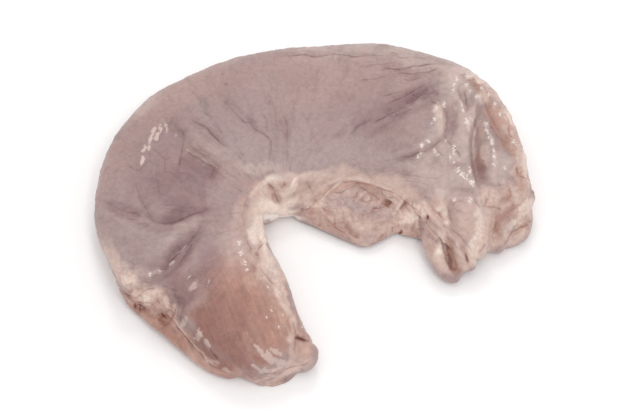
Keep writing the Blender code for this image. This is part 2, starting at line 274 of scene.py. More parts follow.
# Lobes that swell out of the bag: x, y, z, half width and half height along each one's middle.
LOBES = {
    "outlet": ((-24, -92, 13, 8, 12.5), (-14, -98, 14, 13, 14.5), (-7, -104, 12, 10, 12.5)),
    "ear_floor": ((84, 0, 17, 9, 9), (87, -15, 13, 11, 9), (92, -29, 10, 9, 7), (95, -39, 7, 7, 6)),
    "ear_wall": (
        (85, 6, 17, 7, 8),
        (81, -6, 18, 7, 8),
        (80, -19, 16, 6.5, 9),
        (84, -31, 13, 6, 9),
        (90, -40, 9, 5.5, 7),
        (95, -43, 8, 5, 6),
    ),
    "ear_lobe": ((94, -20, 18, 5, 7), (98, -31, 14, 5, 8), (99, -39, 10, 4.5, 7)),
    "strap": (
        (76, 4, 25, 7, 6),
        (81, -8, 27, 6, 6),
        (88, -17, 27, 5.5, 6),
        (95, -26, 24, 5, 6),
        (102, -33, 19, 4.5, 7),
        (106, -37, 14, 4.5, 7),
    ),
    "knob": ((99, -6, 28, 10, 12), (101, -14, 27, 11, 13), (104, -22, 23, 8.5, 11), (107, -29, 18, 6, 9)),
    "lip_ridge": ((111, 2, 29, 5, 8), (114, -9, 28, 5, 9), (115, -19, 23, 5, 10), (113, -28, 17, 5, 10)),
    "lip_base": ((119, -8, 15, 8, 12), (118, -18, 11, 7, 10)),
    "flap": (
        (147, 12, 17, 6, 9),
        (142, 4, 18, 6.5, 9),
        (137, -4, 17, 6.5, 9),
        (131, -13, 13, 6, 8),
        (126, -20, 9, 5, 7),
    ),
    "flap_foot": ((132, -14, 6, 6, 7), (138, -11, 7, 7, 7.5), (144, -6, 8, 7, 8), (146, 3, 9, 6, 9)),
    "corner_fat": ((-33, 5, 15, 8, 14), (-25, 10, 14, 8.5, 13), (-13, 12, 12, 8, 11)),
}

# Folds pressed into the skin: kind, depth or height, half width, and x, y, x, y and so on along
# each one. A step is high on the left of its way and low on its right. A bulge is a ridge whose
# ends are as high as its middle.
RIDGE, HOLLOW, CREASE, STEP, BULGE = "ridge", "hollow", "crease", "step", "bulge"
FOLDS = {
    "deep_fold": (STEP, 8.5, 3.2, 111, 3, 109, 13, 107, 25, 107, 38, 109, 50, 113, 61, 118, 71),
    "deep_fold_floor": (HOLLOW, 5, 5, 117, 66, 113, 53, 111, 39, 111, 26, 113, 14, 115, 4),
    "fold_roll": (RIDGE, 3.5, 5, 117, 59, 120, 47, 122, 36, 123, 27, 122, 17),
    "rim_groove": (HOLLOW, 3.5, 3.5, 111, 96, 119, 85, 124, 71, 128, 58, 132, 45, 133, 30),
    "rim_roll": (RIDGE, 2, 4.5, 117, 99, 126, 92, 134, 75, 140, 57, 144, 40, 147, 25),
    "small_roll": (RIDGE, 3.5, 3.5, 109, 87, 115, 83, 113, 72, 110, 64),
    "small_groove": (HOLLOW, 3.2, 2.8, 104, 92, 104, 82, 105, 70, 107, 59, 108, 52),
    "small_ridge": (RIDGE, 3.5, 4.5, 99, 80, 102, 68, 102, 56, 101, 43),
    "mound": (BULGE, 6, 13, 66, 50, 80, 55),
    "mound_edge": (STEP, 5, 3.5, 87, 37, 89, 48, 89, 60, 88, 71, 84, 80),
    "mound_groove": (HOLLOW, 2.6, 4, 97, 77, 95, 66, 93, 55, 91, 44),
    "mound_foot": (STEP, 6, 3.2, 54, 30, 66, 31, 78, 36, 89, 42, 94, 48),
    "long_hollow": (HOLLOW, 5.5, 9, 27, 51, 45, 59, 63, 71, 86, 84),
    "knob_edge": (HOLLOW, 3, 2.8, 109, -1, 104, 2, 97, 3, 91, 0, 88, -7, 88, -15),
    "flap_groove": (HOLLOW, 4.5, 4.5, 133, 1, 128, -6, 124, -14, 122, -22),
    "flap_crease": (CREASE, 4, 2.2, 151, -3, 145, -8, 138, -13, 132, -20),
    "ear_slit": (CREASE, 3, 2, 88, -20, 90, -29, 93, -37, 96, -43),
    "left_valley": (HOLLOW, 5, 6, -142, 2, -126, -9, -111, -17, -98, -20, -81, -16, -68, -8),
    "left_branch": (HOLLOW, 1.8, 3, -119, 3, -115, -7, -109, -17),
    "second_valley": (HOLLOW, 5.5, 5.5, -73, -17, -82, -34, -91, -47, -99, -55, -107, -61),
    "dark_hollow": (HOLLOW, 3.5, 9, -90, 31, -77, 22, -65, 17),
    "wide_hollow": (HOLLOW, 3, 12, -100, 10, -86, 2, -72, 3),
    "pillow": (RIDGE, 3, 5, -86, 43, -74, 36, -62, 29),
    "pillow_edge": (STEP, 3, 3, -88, 35, -77, 30, -64, 23),
    "pillow_groove": (HOLLOW, 1.8, 3, -86, 64, -73, 51, -60, 38),
    "fan_groove_a": (HOLLOW, 1.2, 2.5, -63, 79, -47, 61, -35, 46),
    "fan_groove_b": (HOLLOW, 1.2, 2.5, -21, 65, -18, 48, -19, 30),
    "left_roll": (RIDGE, 1.8, 4, -102, 61, -111, 44, -118, 28),
    "left_groove": (HOLLOW, 1.8, 3.5, -102, 69, -96, 55, -89, 43),
    "fat_lump_a": (RIDGE, 3.5, 6, -130, -49, -123, -58, -115, -65),
    "fat_lump_b": (RIDGE, 3, 5, -114, -66, -104, -70, -95, -77),
    "wall_edge": (CREASE, 4, 3, -131, -57, -119, -68, -95, -79, -79, -95, -62, -113, -52, -118),
    "wall_dent_a": (HOLLOW, 4, 3, -119, -68, -116, -73),
    "wall_dent_b": (HOLLOW, 4, 3, -101, -77, -96, -83),
    "outlet_edge": (HOLLOW, 3, 3, -17, -80, -13, -91, -11, -101, -15, -110),
    "outlet_slit": (CREASE, 5, 2.5, -11, -96, -7, -97, -3, -97),
    "bottom_lip": (CREASE, 3, 3, -38, -123, -27, -122, -16, -118, -6, -113),
    "fat_strip": (CREASE, 3, 2.5, -44, -30, -37, -41, -35, -52, -27, -61, -17, -72),
    "loop_crease": (CREASE, 3.5, 2, -32, 12, -29, 12, -27, 8, -25, 5, -23, 2),
    "loop_rim": (RIDGE, 2, 2.5, -45, -2, -40, 7, -35, 13, -29, 16, -23, 17, -19, 15),
    "loop_notch": (CREASE, 2, 2, -20, 15, -19, 13, -21, 10),
    "loop_lip": (RIDGE, 2, 2.5, -11, 21, -14, 17, -17, 11, -20, 7, -22, 3),
    "corner_groove": (HOLLOW, 1, 3, -5, 21, -3, 17, 0, 13),
    "corner_crease": (CREASE, 2.5, 2, -7, 5, -3, 7, 0, 9, 3, 11, 7, 14),
    "lip_edge": (STEP, 3.5, 2.5, 18, 21, 30, 20, 42, 17, 53, 11, 62, 5, 70, -3, 75, -9),
    "web_pocket": (HOLLOW, 2.5, 4, 25, 15, 35, 12, 45, 9),
    "web_hole": (HOLLOW, 3, 3, 50, 4, 52, 8),
    "web_ridge": (RIDGE, 3, 2.5, 61, 6, 57, 2, 53, -2),
    "web_lump": (RIDGE, 2.5, 5, 58, -7, 64, -5, 70, -8),
    "web_crease": (CREASE, 2.5, 2, 22, -5, 23, -8, 26, -12, 31, -15),
    "web_strand": (RIDGE, 2, 2, 19, 20, 12, 15, 5, 9, 0, 3),
    "far_edge": (STEP, 2, 3, 80, 119, 55, 117, 26, 121, 5, 128, -20, 126),
}

# How uneven all the skin is: the size and the height of each noise, and those of the fat's lumps
UNEVEN = ((34, 1.4), (13, 0.5))
LUMP_SIZE = 7.0
LUMP_HEIGHT = 1.3

# Where fat makes the skin lumpy: x, y of the middle of each patch and its reach.
FATTY = (
    (8, 1, 13), (24, 1, 16), (42, 0, 17), (58, -3, 13), (70, -9, 10), (144, 45, 11), (147, 22, 12),
    (136, 70, 9), (128, 88, 8), (136, 6, 13), (142, -6, 12), (-124, -58, 14), (-98, -74, 12),
    (-22, -58, 12),
)

# Wrinkles that only the skin shows: kind, depth or height in millimetres, half width in pixels,
# and x, y, x, y and so on in the photograph along each one. A step is high on the left of its way.
WRINKLES = (
    # Grooves that fan out from the inner corner over the left shoulder
    (CREASE, 0.9, 1.5, 190, 118, 197, 123, 204, 127, 210, 133, 217, 139, 226, 148),
    (CREASE, 0.6, 1.1, 209, 121, 214, 125, 219, 129, 222, 135),
    (CREASE, 0.4, 1.1, 246, 111, 251, 119, 257, 124),
    (CREASE, 0.4, 1.1, 230, 103, 237, 107, 243, 116),
    (CREASE, 0.4, 1.2, 203, 111, 209, 116, 212, 121),
    (CREASE, 0.5, 1.1, 223, 97, 228, 105, 234, 112, 240, 119),
    (CREASE, 0.8, 1.3, 238, 117, 244, 121, 249, 123, 256, 129.5, 266, 135.5, 271, 141),
    (CREASE, 0.7, 1.3, 269, 139, 271, 146, 270, 155, 268, 167),
    (CREASE, 0.5, 1.2, 247, 114, 251, 119, 256, 123),
    (CREASE, 0.5, 1.2, 261, 112, 266, 119, 267, 132),
    (CREASE, 0.5, 1.2, 273, 102, 276, 115, 279, 132, 283, 137),
    (CREASE, 0.9, 1.7, 283, 115, 286, 123, 287, 134, 287, 148, 286, 163),
    (HOLLOW, 0.5, 3, 277, 140, 277, 150, 276, 162),
    (CREASE, 0.3, 1.2, 234, 132, 237, 144, 245, 158),
    (HOLLOW, 0.6, 3, 165, 107, 166, 116, 173, 124, 180, 132),
    (CREASE, 0.8, 1.3, 181, 129, 183, 133, 184, 137),
    (CREASE, 0.9, 1.8, 184, 139, 182, 148, 181, 157, 179, 167),
    (CREASE, 0.35, 1.2, 238, 172, 242, 177),
    # Crepe on the pale pillow
    (CREASE, 0.5, 1, 187, 138, 196, 143, 206, 152, 217, 158, 221, 162),
    (CREASE, 0.5, 1, 186, 143, 194, 149, 203, 155, 212, 160, 219, 164),
    (CREASE, 0.35, 1, 192, 136, 203, 142, 213, 150, 222, 157),
    (RIDGE, 0.4, 1.2, 184, 148, 189, 152, 196, 154, 202, 159, 209, 162, 214, 166, 220, 166),
    (CREASE, 0.5, 1.1, 184, 152, 191, 155, 199, 160, 208, 165, 215, 168),
    (CREASE, 0.6, 1, 203, 157, 207, 155.5, 211, 155.5),
    # Fine lines in the dark hollow and the left valley
    (CREASE, 0.7, 1.2, 164, 172, 177, 173, 187, 173, 193, 177, 198, 181),
    (CREASE, 0.5, 1.1, 152, 148, 162, 157, 166, 159, 172, 155),
    (CREASE, 0.5, 1.1, 164, 159, 164.5, 172),
    (CREASE, 0.5, 1.2, 155.5, 169, 157, 182, 160, 192, 169, 198),
    (CREASE, 0.6, 1.4, 134, 182, 137, 190, 140, 198, 146, 208, 150, 217, 156, 222),
    (CREASE, 0.7, 1.2, 104, 201, 113, 206, 124, 211, 134, 214, 147, 218),
    (CREASE, 0.5, 1.1, 108, 206, 118, 213, 127, 218, 140, 220),
    (CREASE, 0.3, 1.1, 110, 200, 125, 206, 140, 212),
    (CREASE, 1, 1.9, 150, 220, 158, 223, 169, 223, 180, 221, 189, 217, 200, 213, 209, 207),
    (CREASE, 0.6, 1.2, 161, 205, 172, 205.5, 178, 206, 187, 208, 197, 208),
    (CREASE, 0.5, 1.2, 163, 212, 175, 213, 188, 212),
    (CREASE, 0.4, 1.1, 136, 231, 141, 228, 147, 225, 151, 223),
    (CREASE, 0.6, 1.3, 128, 165, 134, 169, 138, 171, 143, 167),
    # The second valley and the fat below it
    (CREASE, 0.8, 1.8, 203, 224, 197, 232, 191, 242, 181, 251, 172, 261, 165, 270, 157, 274),
    (RIDGE, 0.8, 1.2, 188, 244, 182, 250, 175, 256, 169, 264),
    (CREASE, 0.7, 1.2, 194, 243, 186, 254, 178, 264),
    (RIDGE, 1.2, 2.5, 146, 275, 153, 274, 161, 269),
    (CREASE, 0.8, 1.4, 142, 281, 151, 282, 157, 275),
    (RIDGE, 1.6, 5, 118, 262, 127, 272, 134, 283),
    (RIDGE, 1.8, 4, 141, 296, 150, 293, 160, 292),
    (RIDGE, 1.4, 2.6, 163, 296, 167, 303, 168, 310),
    (CREASE, 0.9, 1.4, 136, 299, 141, 294, 149, 289, 157, 288),
    (CREASE, 0.9, 1.4, 159, 292, 157, 298, 160, 304, 163, 309),
    (CREASE, 0.8, 1.2, 144, 306, 145, 314),
    (CREASE, 0.8, 1.4, 176, 306, 173, 315, 171, 320),
    (CREASE, 0.7, 1.3, 184, 303, 182, 314, 179, 322),
    (CREASE, 1.1, 1.5, 124, 294, 129, 297, 134, 302, 142, 303, 150, 304, 157, 309, 164, 312),
    (STEP, 1.7, 1.2, 207, 362, 202, 355, 192, 344, 182, 332, 172, 321, 164, 312),
    (CREASE, 0.9, 1.4, 207, 362, 215, 367, 221, 369, 227, 371, 232, 374),
    (CREASE, 0.6, 1.2, 147, 316, 165, 321, 175, 330, 187, 342, 195, 352, 202, 360),
    (HOLLOW, 0.9, 2.2, 134, 304, 136, 309),
    (HOLLOW, 0.9, 2.2, 141, 306, 141, 310),
    (HOLLOW, 0.4, 1.7, 161, 313, 166, 318),
    (CREASE, 1.2, 1.5, 209, 347, 213, 354, 218, 360),
    # The outlet's end
    (CREASE, 1, 1.6, 293, 320, 295, 328, 295, 340, 294, 355),
    (CREASE, 1.8, 1.6, 296, 336, 301, 338.5, 307, 340),
    (CREASE, 0.5, 1.2, 298, 322, 302, 328, 305, 334),
    (CREASE, 1.1, 1.6, 255, 384, 266, 381, 278, 375, 289, 368, 304, 365, 313, 361),
    (CREASE, 0.8, 1.4, 256, 372, 270, 374, 282, 369, 290, 362),
    # The cream strip along the inner side of the outlet arm
    (CREASE, 1, 1.4, 265, 242, 259, 248, 257, 255, 258, 261),
    (CREASE, 0.8, 1.4, 258, 267, 266, 276, 275, 285),
    (CREASE, 0.5, 1.4, 246, 238, 250, 246, 252, 255),
    (RIDGE, 0.8, 3, 262, 262, 269, 268, 276, 278),
    (HOLLOW, 0.9, 2, 279, 288, 283, 297, 285, 306),
    # The loop of fat in the inner corner
    (CREASE, 1, 1.2, 267, 184.5, 269, 184, 272, 188, 275, 194, 277.5, 200, 280, 204),
    (CREASE, 0.9, 1.2, 284, 181, 285, 184, 283, 187.5, 282, 190),
    (RIDGE, 0.7, 3, 244, 207, 248, 198, 254, 190, 262, 183),
    (CREASE, 0.5, 2, 248, 195, 244.5, 204, 243, 217, 246, 228),
    (RIDGE, 0.8, 2.2, 269, 180, 277, 177.5, 284, 180),
    (RIDGE, 0.7, 2.5, 298, 176, 293, 182, 288, 189, 284, 196, 281, 202),
    (CREASE, 0.4, 1.4, 300, 177, 299.5, 182, 300.5, 187),
    (CREASE, 0.45, 1.5, 306, 178, 307, 182, 310, 188, 314, 196),
    # The lip over the web, and the web's own membranes
    (STEP, 1.2, 1.5, 424, 216, 418, 211, 411, 206, 402, 199.5, 395, 194, 384, 189.5, 373, 185.5),
    (STEP, 1.4, 1.4, 373, 185.5, 360, 183, 351, 182, 343, 182),
    (RIDGE, 0.5, 4, 345, 178, 366, 179, 386, 186, 400, 193, 412, 202),
    (CREASE, 1, 1.4, 358, 186, 366, 190.5, 373, 196, 382, 201),
    (CREASE, 0.9, 1.3, 358, 185.5, 348, 188.5, 341, 192, 332, 192),
    (RIDGE, 1, 1.6, 341, 182, 336, 186, 330, 190, 325, 195, 320, 200),
    (CREASE, 0.9, 1.2, 332, 187.5, 326, 191, 322, 197),
    (CREASE, 1.1, 1.2, 317.5, 199, 314, 203, 309, 207.5, 303, 210),
    (CREASE, 0.5, 1.5, 301, 210, 307, 213, 314, 213),
    (CREASE, 0.5, 1.2, 328, 201, 338, 199),
    (RIDGE, 1.1, 2, 360, 194, 362, 196),
    (RIDGE, 1.2, 2, 368, 198, 369, 200),
    (RIDGE, 0.8, 1.8, 365, 192, 366, 193),
    (CREASE, 1.1, 1, 351, 198, 355, 196.5, 357.5, 192),
    (CREASE, 1.1, 1, 359.5, 199.5, 363, 200.5, 366, 202, 369.5, 201.5, 373, 197),
    (CREASE, 0.8, 1, 362, 199.5, 364, 196),
    (CREASE, 0.9, 1.2, 382, 189.5, 382.5, 194, 387, 197.5, 394, 198.5),
    (HOLLOW, 1.3, 3, 389, 201, 386, 206),
    (HOLLOW, 0.8, 1.6, 378, 208, 373, 208),
    (CREASE, 0.7, 1.4, 386, 206, 381, 208, 373, 209),
    (RIDGE, 1.8, 2.4, 402, 200, 398, 206, 394, 211),
    (CREASE, 1, 1.6, 400.5, 210, 406, 202.5, 410.5, 205),
    (HOLLOW, 1.2, 2.2, 426, 216, 428, 221),
    (HOLLOW, 1.2, 2.2, 399, 232, 402, 234),
    (CREASE, 1.1, 1.2, 421.5, 219.5, 419.5, 223, 417.5, 226),
    (CREASE, 0.9, 1.2, 424, 229, 415, 229.5),
    (CREASE, 0.8, 1.2, 391.5, 230.5, 393, 227),
    (CREASE, 0.8, 1.3, 420, 233, 412, 236, 405, 238),
    (RIDGE, 1.2, 6, 398, 217, 408, 220, 417, 218),
    (CREASE, 1, 1.2, 346, 223, 347, 227, 351.5, 234, 359.5, 238.5),
    (CREASE, 0.9, 1.3, 325, 216, 328.5, 221.5, 334, 227, 342, 232, 351.5, 236),
    (CREASE, 0.6, 1.2, 321, 207, 325, 211, 335, 213),
    (CREASE, 0.5, 1.3, 373, 223, 381.5, 222, 390, 221),
    (CREASE, 0.4, 1.4, 361, 216, 371, 213, 381, 211),
    (CREASE, 1, 1.4, 378.5, 241.5, 381, 237.5, 385, 234),
    (RIDGE, 1, 4, 348, 222, 360, 228, 374, 230),
    (RIDGE, 1, 2.5, 364, 243, 376, 238, 385, 231, 394, 226),
    # Lines that follow the far edge
    (STEP, 1.4, 1.5, 280, 57, 300, 55, 318, 57, 335, 54, 348, 56, 365, 56.5, 388, 54.5),
    (CREASE, 0.7, 1.1, 388, 54.5, 402, 57, 414, 57.5, 424, 57, 436, 56),
    (CREASE, 1.3, 1.2, 379, 71.6, 387, 68.6, 396, 68.6, 405, 68, 413, 66.2, 420, 65.4, 429, 64.4, 440, 63),
    (CREASE, 0.4, 1.2, 442, 63, 455, 66),
    (CREASE, 0.4, 1.2, 358, 66, 367, 66, 383, 64, 396, 62),
    (CREASE, 0.7, 1.1, 360, 80, 376, 79, 387, 75),
    (CREASE, 1.3, 1.2, 393, 73.6, 401, 73, 411, 73.6, 417, 72.8, 425, 72, 431, 71, 440, 68),
    (CREASE, 0.7, 1.1, 403, 79, 415, 79, 423, 76),
    (CREASE, 0.5, 1.1, 365, 66, 377, 64.4, 389, 63.8),
    # The wrinkled valley above the mound
    (CREASE, 0.6, 1, 382, 96, 390, 95, 398, 92.8, 405, 91),
    (CREASE, 1.2, 1, 386, 104.6, 393, 101.6, 400, 98.6, 406, 96, 412, 92.6, 418, 87.8, 424, 84.8),
    (CREASE, 1.7, 1.1, 406, 105.2, 412, 101.6, 417, 98, 423, 92, 429, 86.6),
    (CREASE, 1, 0.9, 407, 102, 415, 96, 421, 90.6, 427, 88),
    (CREASE, 1, 1, 413, 99.2, 421, 96.2, 430, 93.2, 437, 91.4),
    (CREASE, 1, 1, 419, 99.4, 426, 98.4, 433, 95.8, 440, 93.4),
    (CREASE, 0.7, 1, 385, 111.2, 394, 108.2, 401, 105),
    (CREASE, 0.9, 1, 385, 116.6, 393, 116, 401, 112.6, 408, 109.4, 413, 107.2),
    (CREASE, 0.6, 1, 398, 119, 403, 115, 409, 112),
    (CREASE, 0.7, 1.3, 348, 135, 353, 132, 359, 126.5, 365, 123, 372, 119),
    (CREASE, 1.1, 1.1, 373, 123.2, 380, 119.6, 387, 115.6, 393, 112, 400, 108.6, 407, 106),
    (CREASE, 0.7, 1, 363, 125, 367, 121.6, 371, 119),
    # The mound and the arcs below it
    (CREASE, 0.9, 1.5, 401, 158, 410, 156.5, 418, 153.5, 427, 151, 434, 146, 441, 140, 445, 137),
    (CREASE, 0.6, 1.2, 433, 147, 440, 154, 445, 156),
    (CREASE, 0.9, 1.3, 430, 99, 436, 104, 440, 107),
    (CREASE, 0.3, 1.2, 444, 104, 447, 112, 448, 122, 447.5, 133),
    (CREASE, 0.9, 1.4, 446, 139, 451, 145, 456, 150, 461, 159),
    (CREASE, 0.4, 1.2, 402, 174, 415, 176.5, 428, 178, 438, 178, 446, 174),
    (CREASE, 0.35, 1.2, 398, 179, 410, 182, 420, 183, 430, 186),
    # Ridges and grooves right of the mound
    (RIDGE, 1.6, 2.2, 460, 100, 465, 109, 468, 120, 468, 130),
    (CREASE, 1, 1.3, 464, 90, 465, 96, 466, 104, 469, 114),
    (RIDGE, 1.1, 1.8, 470, 91, 478, 96, 476, 104, 471, 112),
    (RIDGE, 1, 2, 484, 120, 487, 130, 492, 142, 494, 158, 494, 166),
    (CREASE, 0.3, 1.2, 475, 120, 473.5, 132, 472, 143, 472, 155, 474, 165, 477, 175, 480, 180),
    (HOLLOW, 1, 2.6, 466, 80, 473, 84, 480, 90, 484, 93),
    (HOLLOW, 1, 3.5, 487, 100, 488, 110, 492, 120, 494, 130, 500, 138, 505, 142, 508, 152),
    (CREASE, 0.9, 1.4, 489, 120, 493, 129, 499, 137, 505, 142),
    (CREASE, 1, 1.3, 509, 125, 510, 134, 514, 138),
    (CREASE, 0.8, 1.3, 504, 112, 508, 118, 510, 124),
    (CREASE, 0.9, 1.3, 517, 166, 517, 173, 521, 177, 528, 179),
    (RIDGE, 1.2, 2.4, 521, 169, 523, 172),
    (CREASE, 0.9, 1.3, 509, 187, 510.5, 195, 508, 199, 503, 199),
    (CREASE, 0.7, 1.3, 497, 184, 504, 186, 509, 187),
    (CREASE, 0.6, 1.3, 484, 206, 493, 207, 503, 209),
    # The knob, its straps and the ear
    (RIDGE, 2.2, 3.2, 427, 222, 433, 230, 440, 237),
    (BULGE, 4.5, 3.5, 442, 238, 444, 242),
    (CREASE, 0.8, 1.4, 424, 216, 428, 224, 433, 232, 438, 236, 445, 238),
    (CREASE, 0.6, 1, 424, 200, 433, 208, 441, 217, 448, 228, 456, 237),
    (CREASE, 0.6, 1, 427, 208, 433, 213, 440, 220, 447, 228, 456, 238),
    (CREASE, 0.7, 1, 429, 220, 436, 227, 444, 236, 452, 242, 458, 248, 464, 252),
    (CREASE, 0.35, 1, 426, 213, 433, 220, 441, 229, 447, 236),
    (CREASE, 0.4, 1, 431, 207, 440, 214, 447, 222),
    (CREASE, 0.8, 1.3, 448, 224, 454, 232, 462, 240, 470, 249, 474, 255),
    (CREASE, 0.5, 1.3, 449, 209, 449, 216, 452, 222),
    (CREASE, 0.7, 1.3, 451, 206, 456, 202.5, 462, 201.5),
    (CREASE, 0.4, 1.2, 452, 207, 461, 212, 468, 214),
    (CREASE, 0.25, 1.2, 454, 224, 462, 228, 471, 235),
    (RIDGE, 1.4, 2.2, 478, 204, 480, 214, 480, 226, 477, 239, 476, 253, 477, 260),
    (CREASE, 1.1, 1.3, 487, 198, 485, 204, 482, 207),
    (CREASE, 0.9, 1.3, 474, 199, 480, 209),
    (HOLLOW, 0.9, 3.5, 508, 212, 500, 216, 496, 222, 494, 234),
    (CREASE, 0.9, 1.5, 496, 214, 495, 224, 494, 232),
    (CREASE, 0.7, 1.3, 530, 195, 520, 204, 513, 209, 507, 212),
    (RIDGE, 1.2, 2, 531, 197, 523, 208, 515, 222, 508, 234, 500, 245),
    (STEP, 1.5, 1.4, 503, 247, 508, 239, 512, 233, 517, 230, 521, 228, 528, 225),
    (CREASE, 0.6, 1.2, 525, 204, 525.5, 212, 527, 218),
    (CREASE, 1, 1.3, 478, 254, 480, 252, 485, 244),
    (CREASE, 0.8, 1.5, 445.5, 237.5, 446, 245, 447.5, 254, 450, 263, 451.5, 270, 455, 275),
    (CREASE, 1.2, 1.3, 464, 252, 467, 259, 469, 264),
    (RIDGE, 1, 3, 456, 248, 461, 258, 461, 268),
    (CREASE, 0.7, 1.3, 425, 233, 433, 239, 438, 242, 444, 244),
)

# Pale marks with a clear edge: strength, x, y, half length and half width in pixels, and turn in degrees.
# The first ten are painted highlights: the slanted marks where the left shoulder shines. The last two are
# painted highlights on the lip's band.
PALE_MARKS = (
    (0.8, 166.7, 128.3, 5.5, 1.5, 78), (0.75, 160.5, 129.4, 4.5, 1.7, 100),
    (0.8, 157.8, 136.1, 3.5, 1.4, 105), (0.9, 154.4, 130.6, 5.5, 1.9, 115),
    (0.7, 155, 138.9, 2.5, 1.1, 110), (0.95, 150.2, 138.9, 5, 2, 110), (0.9, 143.8, 149.5, 4, 2, 120),
    (0.7, 148.9, 148.3, 3.5, 1.2, 108), (0.95, 142.2, 160.5, 4.5, 2.2, 105),
    (0.5, 175.5, 136, 2, 1.5, 90), (0.4, 187, 150, 4, 0.6, 35), (0.45, 195, 154.5, 5, 0.6, 25),
    (0.45, 204, 160, 5, 0.6, 33), (0.45, 213, 165, 5, 0.6, 28), (0.35, 208, 156.7, 3, 0.5, 12),
    (0.35, 217, 162, 4, 0.5, 38), (0.45, 182, 249.5, 7, 1.1, 135), (0.5, 172.5, 263, 3, 1.3, 130),
    (0.5, 160, 272, 4, 1.3, 165), (0.5, 193.5, 286.3, 6, 2.8, 130), (0.6, 188.8, 277, 3.5, 1.3, 150),
    (0.45, 208.8, 281, 5, 0.8, 95), (0.85, 198.8, 336, 6, 3.4, 110), (0.65, 208, 344, 5, 2.2, 60),
    (0.55, 172.5, 310, 5.5, 1.8, 116), (0.6, 185, 321, 7, 2.8, 112), (0.5, 153, 312.5, 4.5, 2.4, 30),
    (0.45, 180, 327.5, 17, 0.9, 50), (0.5, 199, 349.5, 16, 0.9, 49), (0.5, 214, 362, 7, 1.5, 12),
    (0.5, 227.5, 370.5, 5.5, 1.5, 29), (0.6, 257, 367.5, 5.5, 1.9, 22), (0.6, 264, 371, 6, 2.6, -8),
    (0.6, 258, 349, 5.5, 2, 48), (0.65, 269, 357, 9, 4.4, 45), (0.6, 276, 352, 7, 3, 25),
    (0.6, 280, 362, 6, 3.4, -10), (0.5, 262, 380, 8, 2.4, -8), (0.5, 284, 366, 8, 2.2, -25),
    (0.4, 280, 376, 9, 1.6, -18), (0.6, 361, 195, 2.2, 1.7, 90), (0.7, 368.6, 198.8, 2.6, 1.9, 80),
    (0.45, 365.5, 192.3, 2, 1.4, 0), (0.45, 336, 185.8, 6.5, 1.2, 144),
    (0.45, 325, 195, 6.5, 1.2, 135), (0.45, 398.5, 205, 6, 2.6, 126), (0.35, 427, 205, 6, 0.9, 45),
    (0.35, 432, 203, 6, 0.9, 45),
)

# Small holes and slits painted dark, as painted shade in them, in the same way
PITS = (
    (0.9, 135, 306.3, 3.2, 1.4, 70), (0.85, 141, 307.5, 2.8, 1.2, 100), (0.85, 163, 315, 3.2, 1.6, 45),
    (0.6, 164.5, 322.5, 2, 1.2, 45), (0.45, 130.6, 291.5, 3, 2, 0), (0.6, 216, 357.5, 3.3, 1.3, 50),
    (0.9, 301, 338.5, 5.5, 1.5, 17), (0.45, 257, 254, 2.6, 1.6, 90), (0.5, 302, 210, 2.2, 1.3, 0),
    (0.95, 427, 218.5, 3, 2, 80), (0.55, 387.7, 203.6, 3.2, 1.8, 120),
    (0.6, 375.5, 208.5, 2.4, 0.9, 0), (0.9, 400.5, 232.7, 2.4, 1.9, 0),
    (0.45, 392.5, 228.5, 2.2, 1.4, 90), (0.4, 335, 223, 1.3, 1.2, 0), (0.35, 417.3, 236.8, 1.6, 1, 0),
    (0.4, 393, 53.2, 5, 0.9, 0), (0.3, 222, 73, 2, 1.5, 90), (0.3, 207, 77, 1.6, 1.5, 0),
    (0.3, 226, 84, 2, 1.5, 0), (0.3, 484, 161, 2.5, 1.5, 60), (0.45, 498.5, 146, 1.6, 1, 0),
    (0.35, 493, 129, 3, 1.6, 60), (0.5, 517, 171, 4.5, 1, 88), (0.3, 446.7, 246, 8, 1.2, 82),
    (0.5, 450.3, 262.5, 9, 1.8, 76), (0.6, 467, 257.5, 4, 1.5, 60),
)

# Colours of the tissue, as the photograph shows them, in sRGB from 0 to 255
TONES = {
    "skin": (165, 140, 137),
    "pink": (176, 147, 141),
    "grey": (171, 149, 147),
    # Violet: the tissue's own tone, and in the valleys and hollows also painted shade
    "violet": (144, 115, 115),
    # Painted shade in the valleys
    "deep": (124, 94, 94),
    "pale": (203, 181, 173),
    "cream": (240, 220, 208),
    "fat": (214, 187, 175),
    "web": (203, 175, 165),
    "tan": (196, 158, 143),
    "muscle": (174, 130, 116),
    "meat": (147, 103, 92),
    "wall": (171, 128, 114),
    "brown": (176, 128, 113),
    "rust": (182, 143, 128),
    # Painted shade in holes and slits
    "painted_shade": (128, 72, 60),
    # Painted shade for the skin's hollows
    "line": (124, 94, 97),
    # The pale marks' colour, also that of their painted highlights
    "mark": (212, 190, 181),
    # A painted glint's colour
    "painted_glint": (240, 226, 215),
    # Painted light along the inner curve's edge
    "white": (254, 243, 236),
}
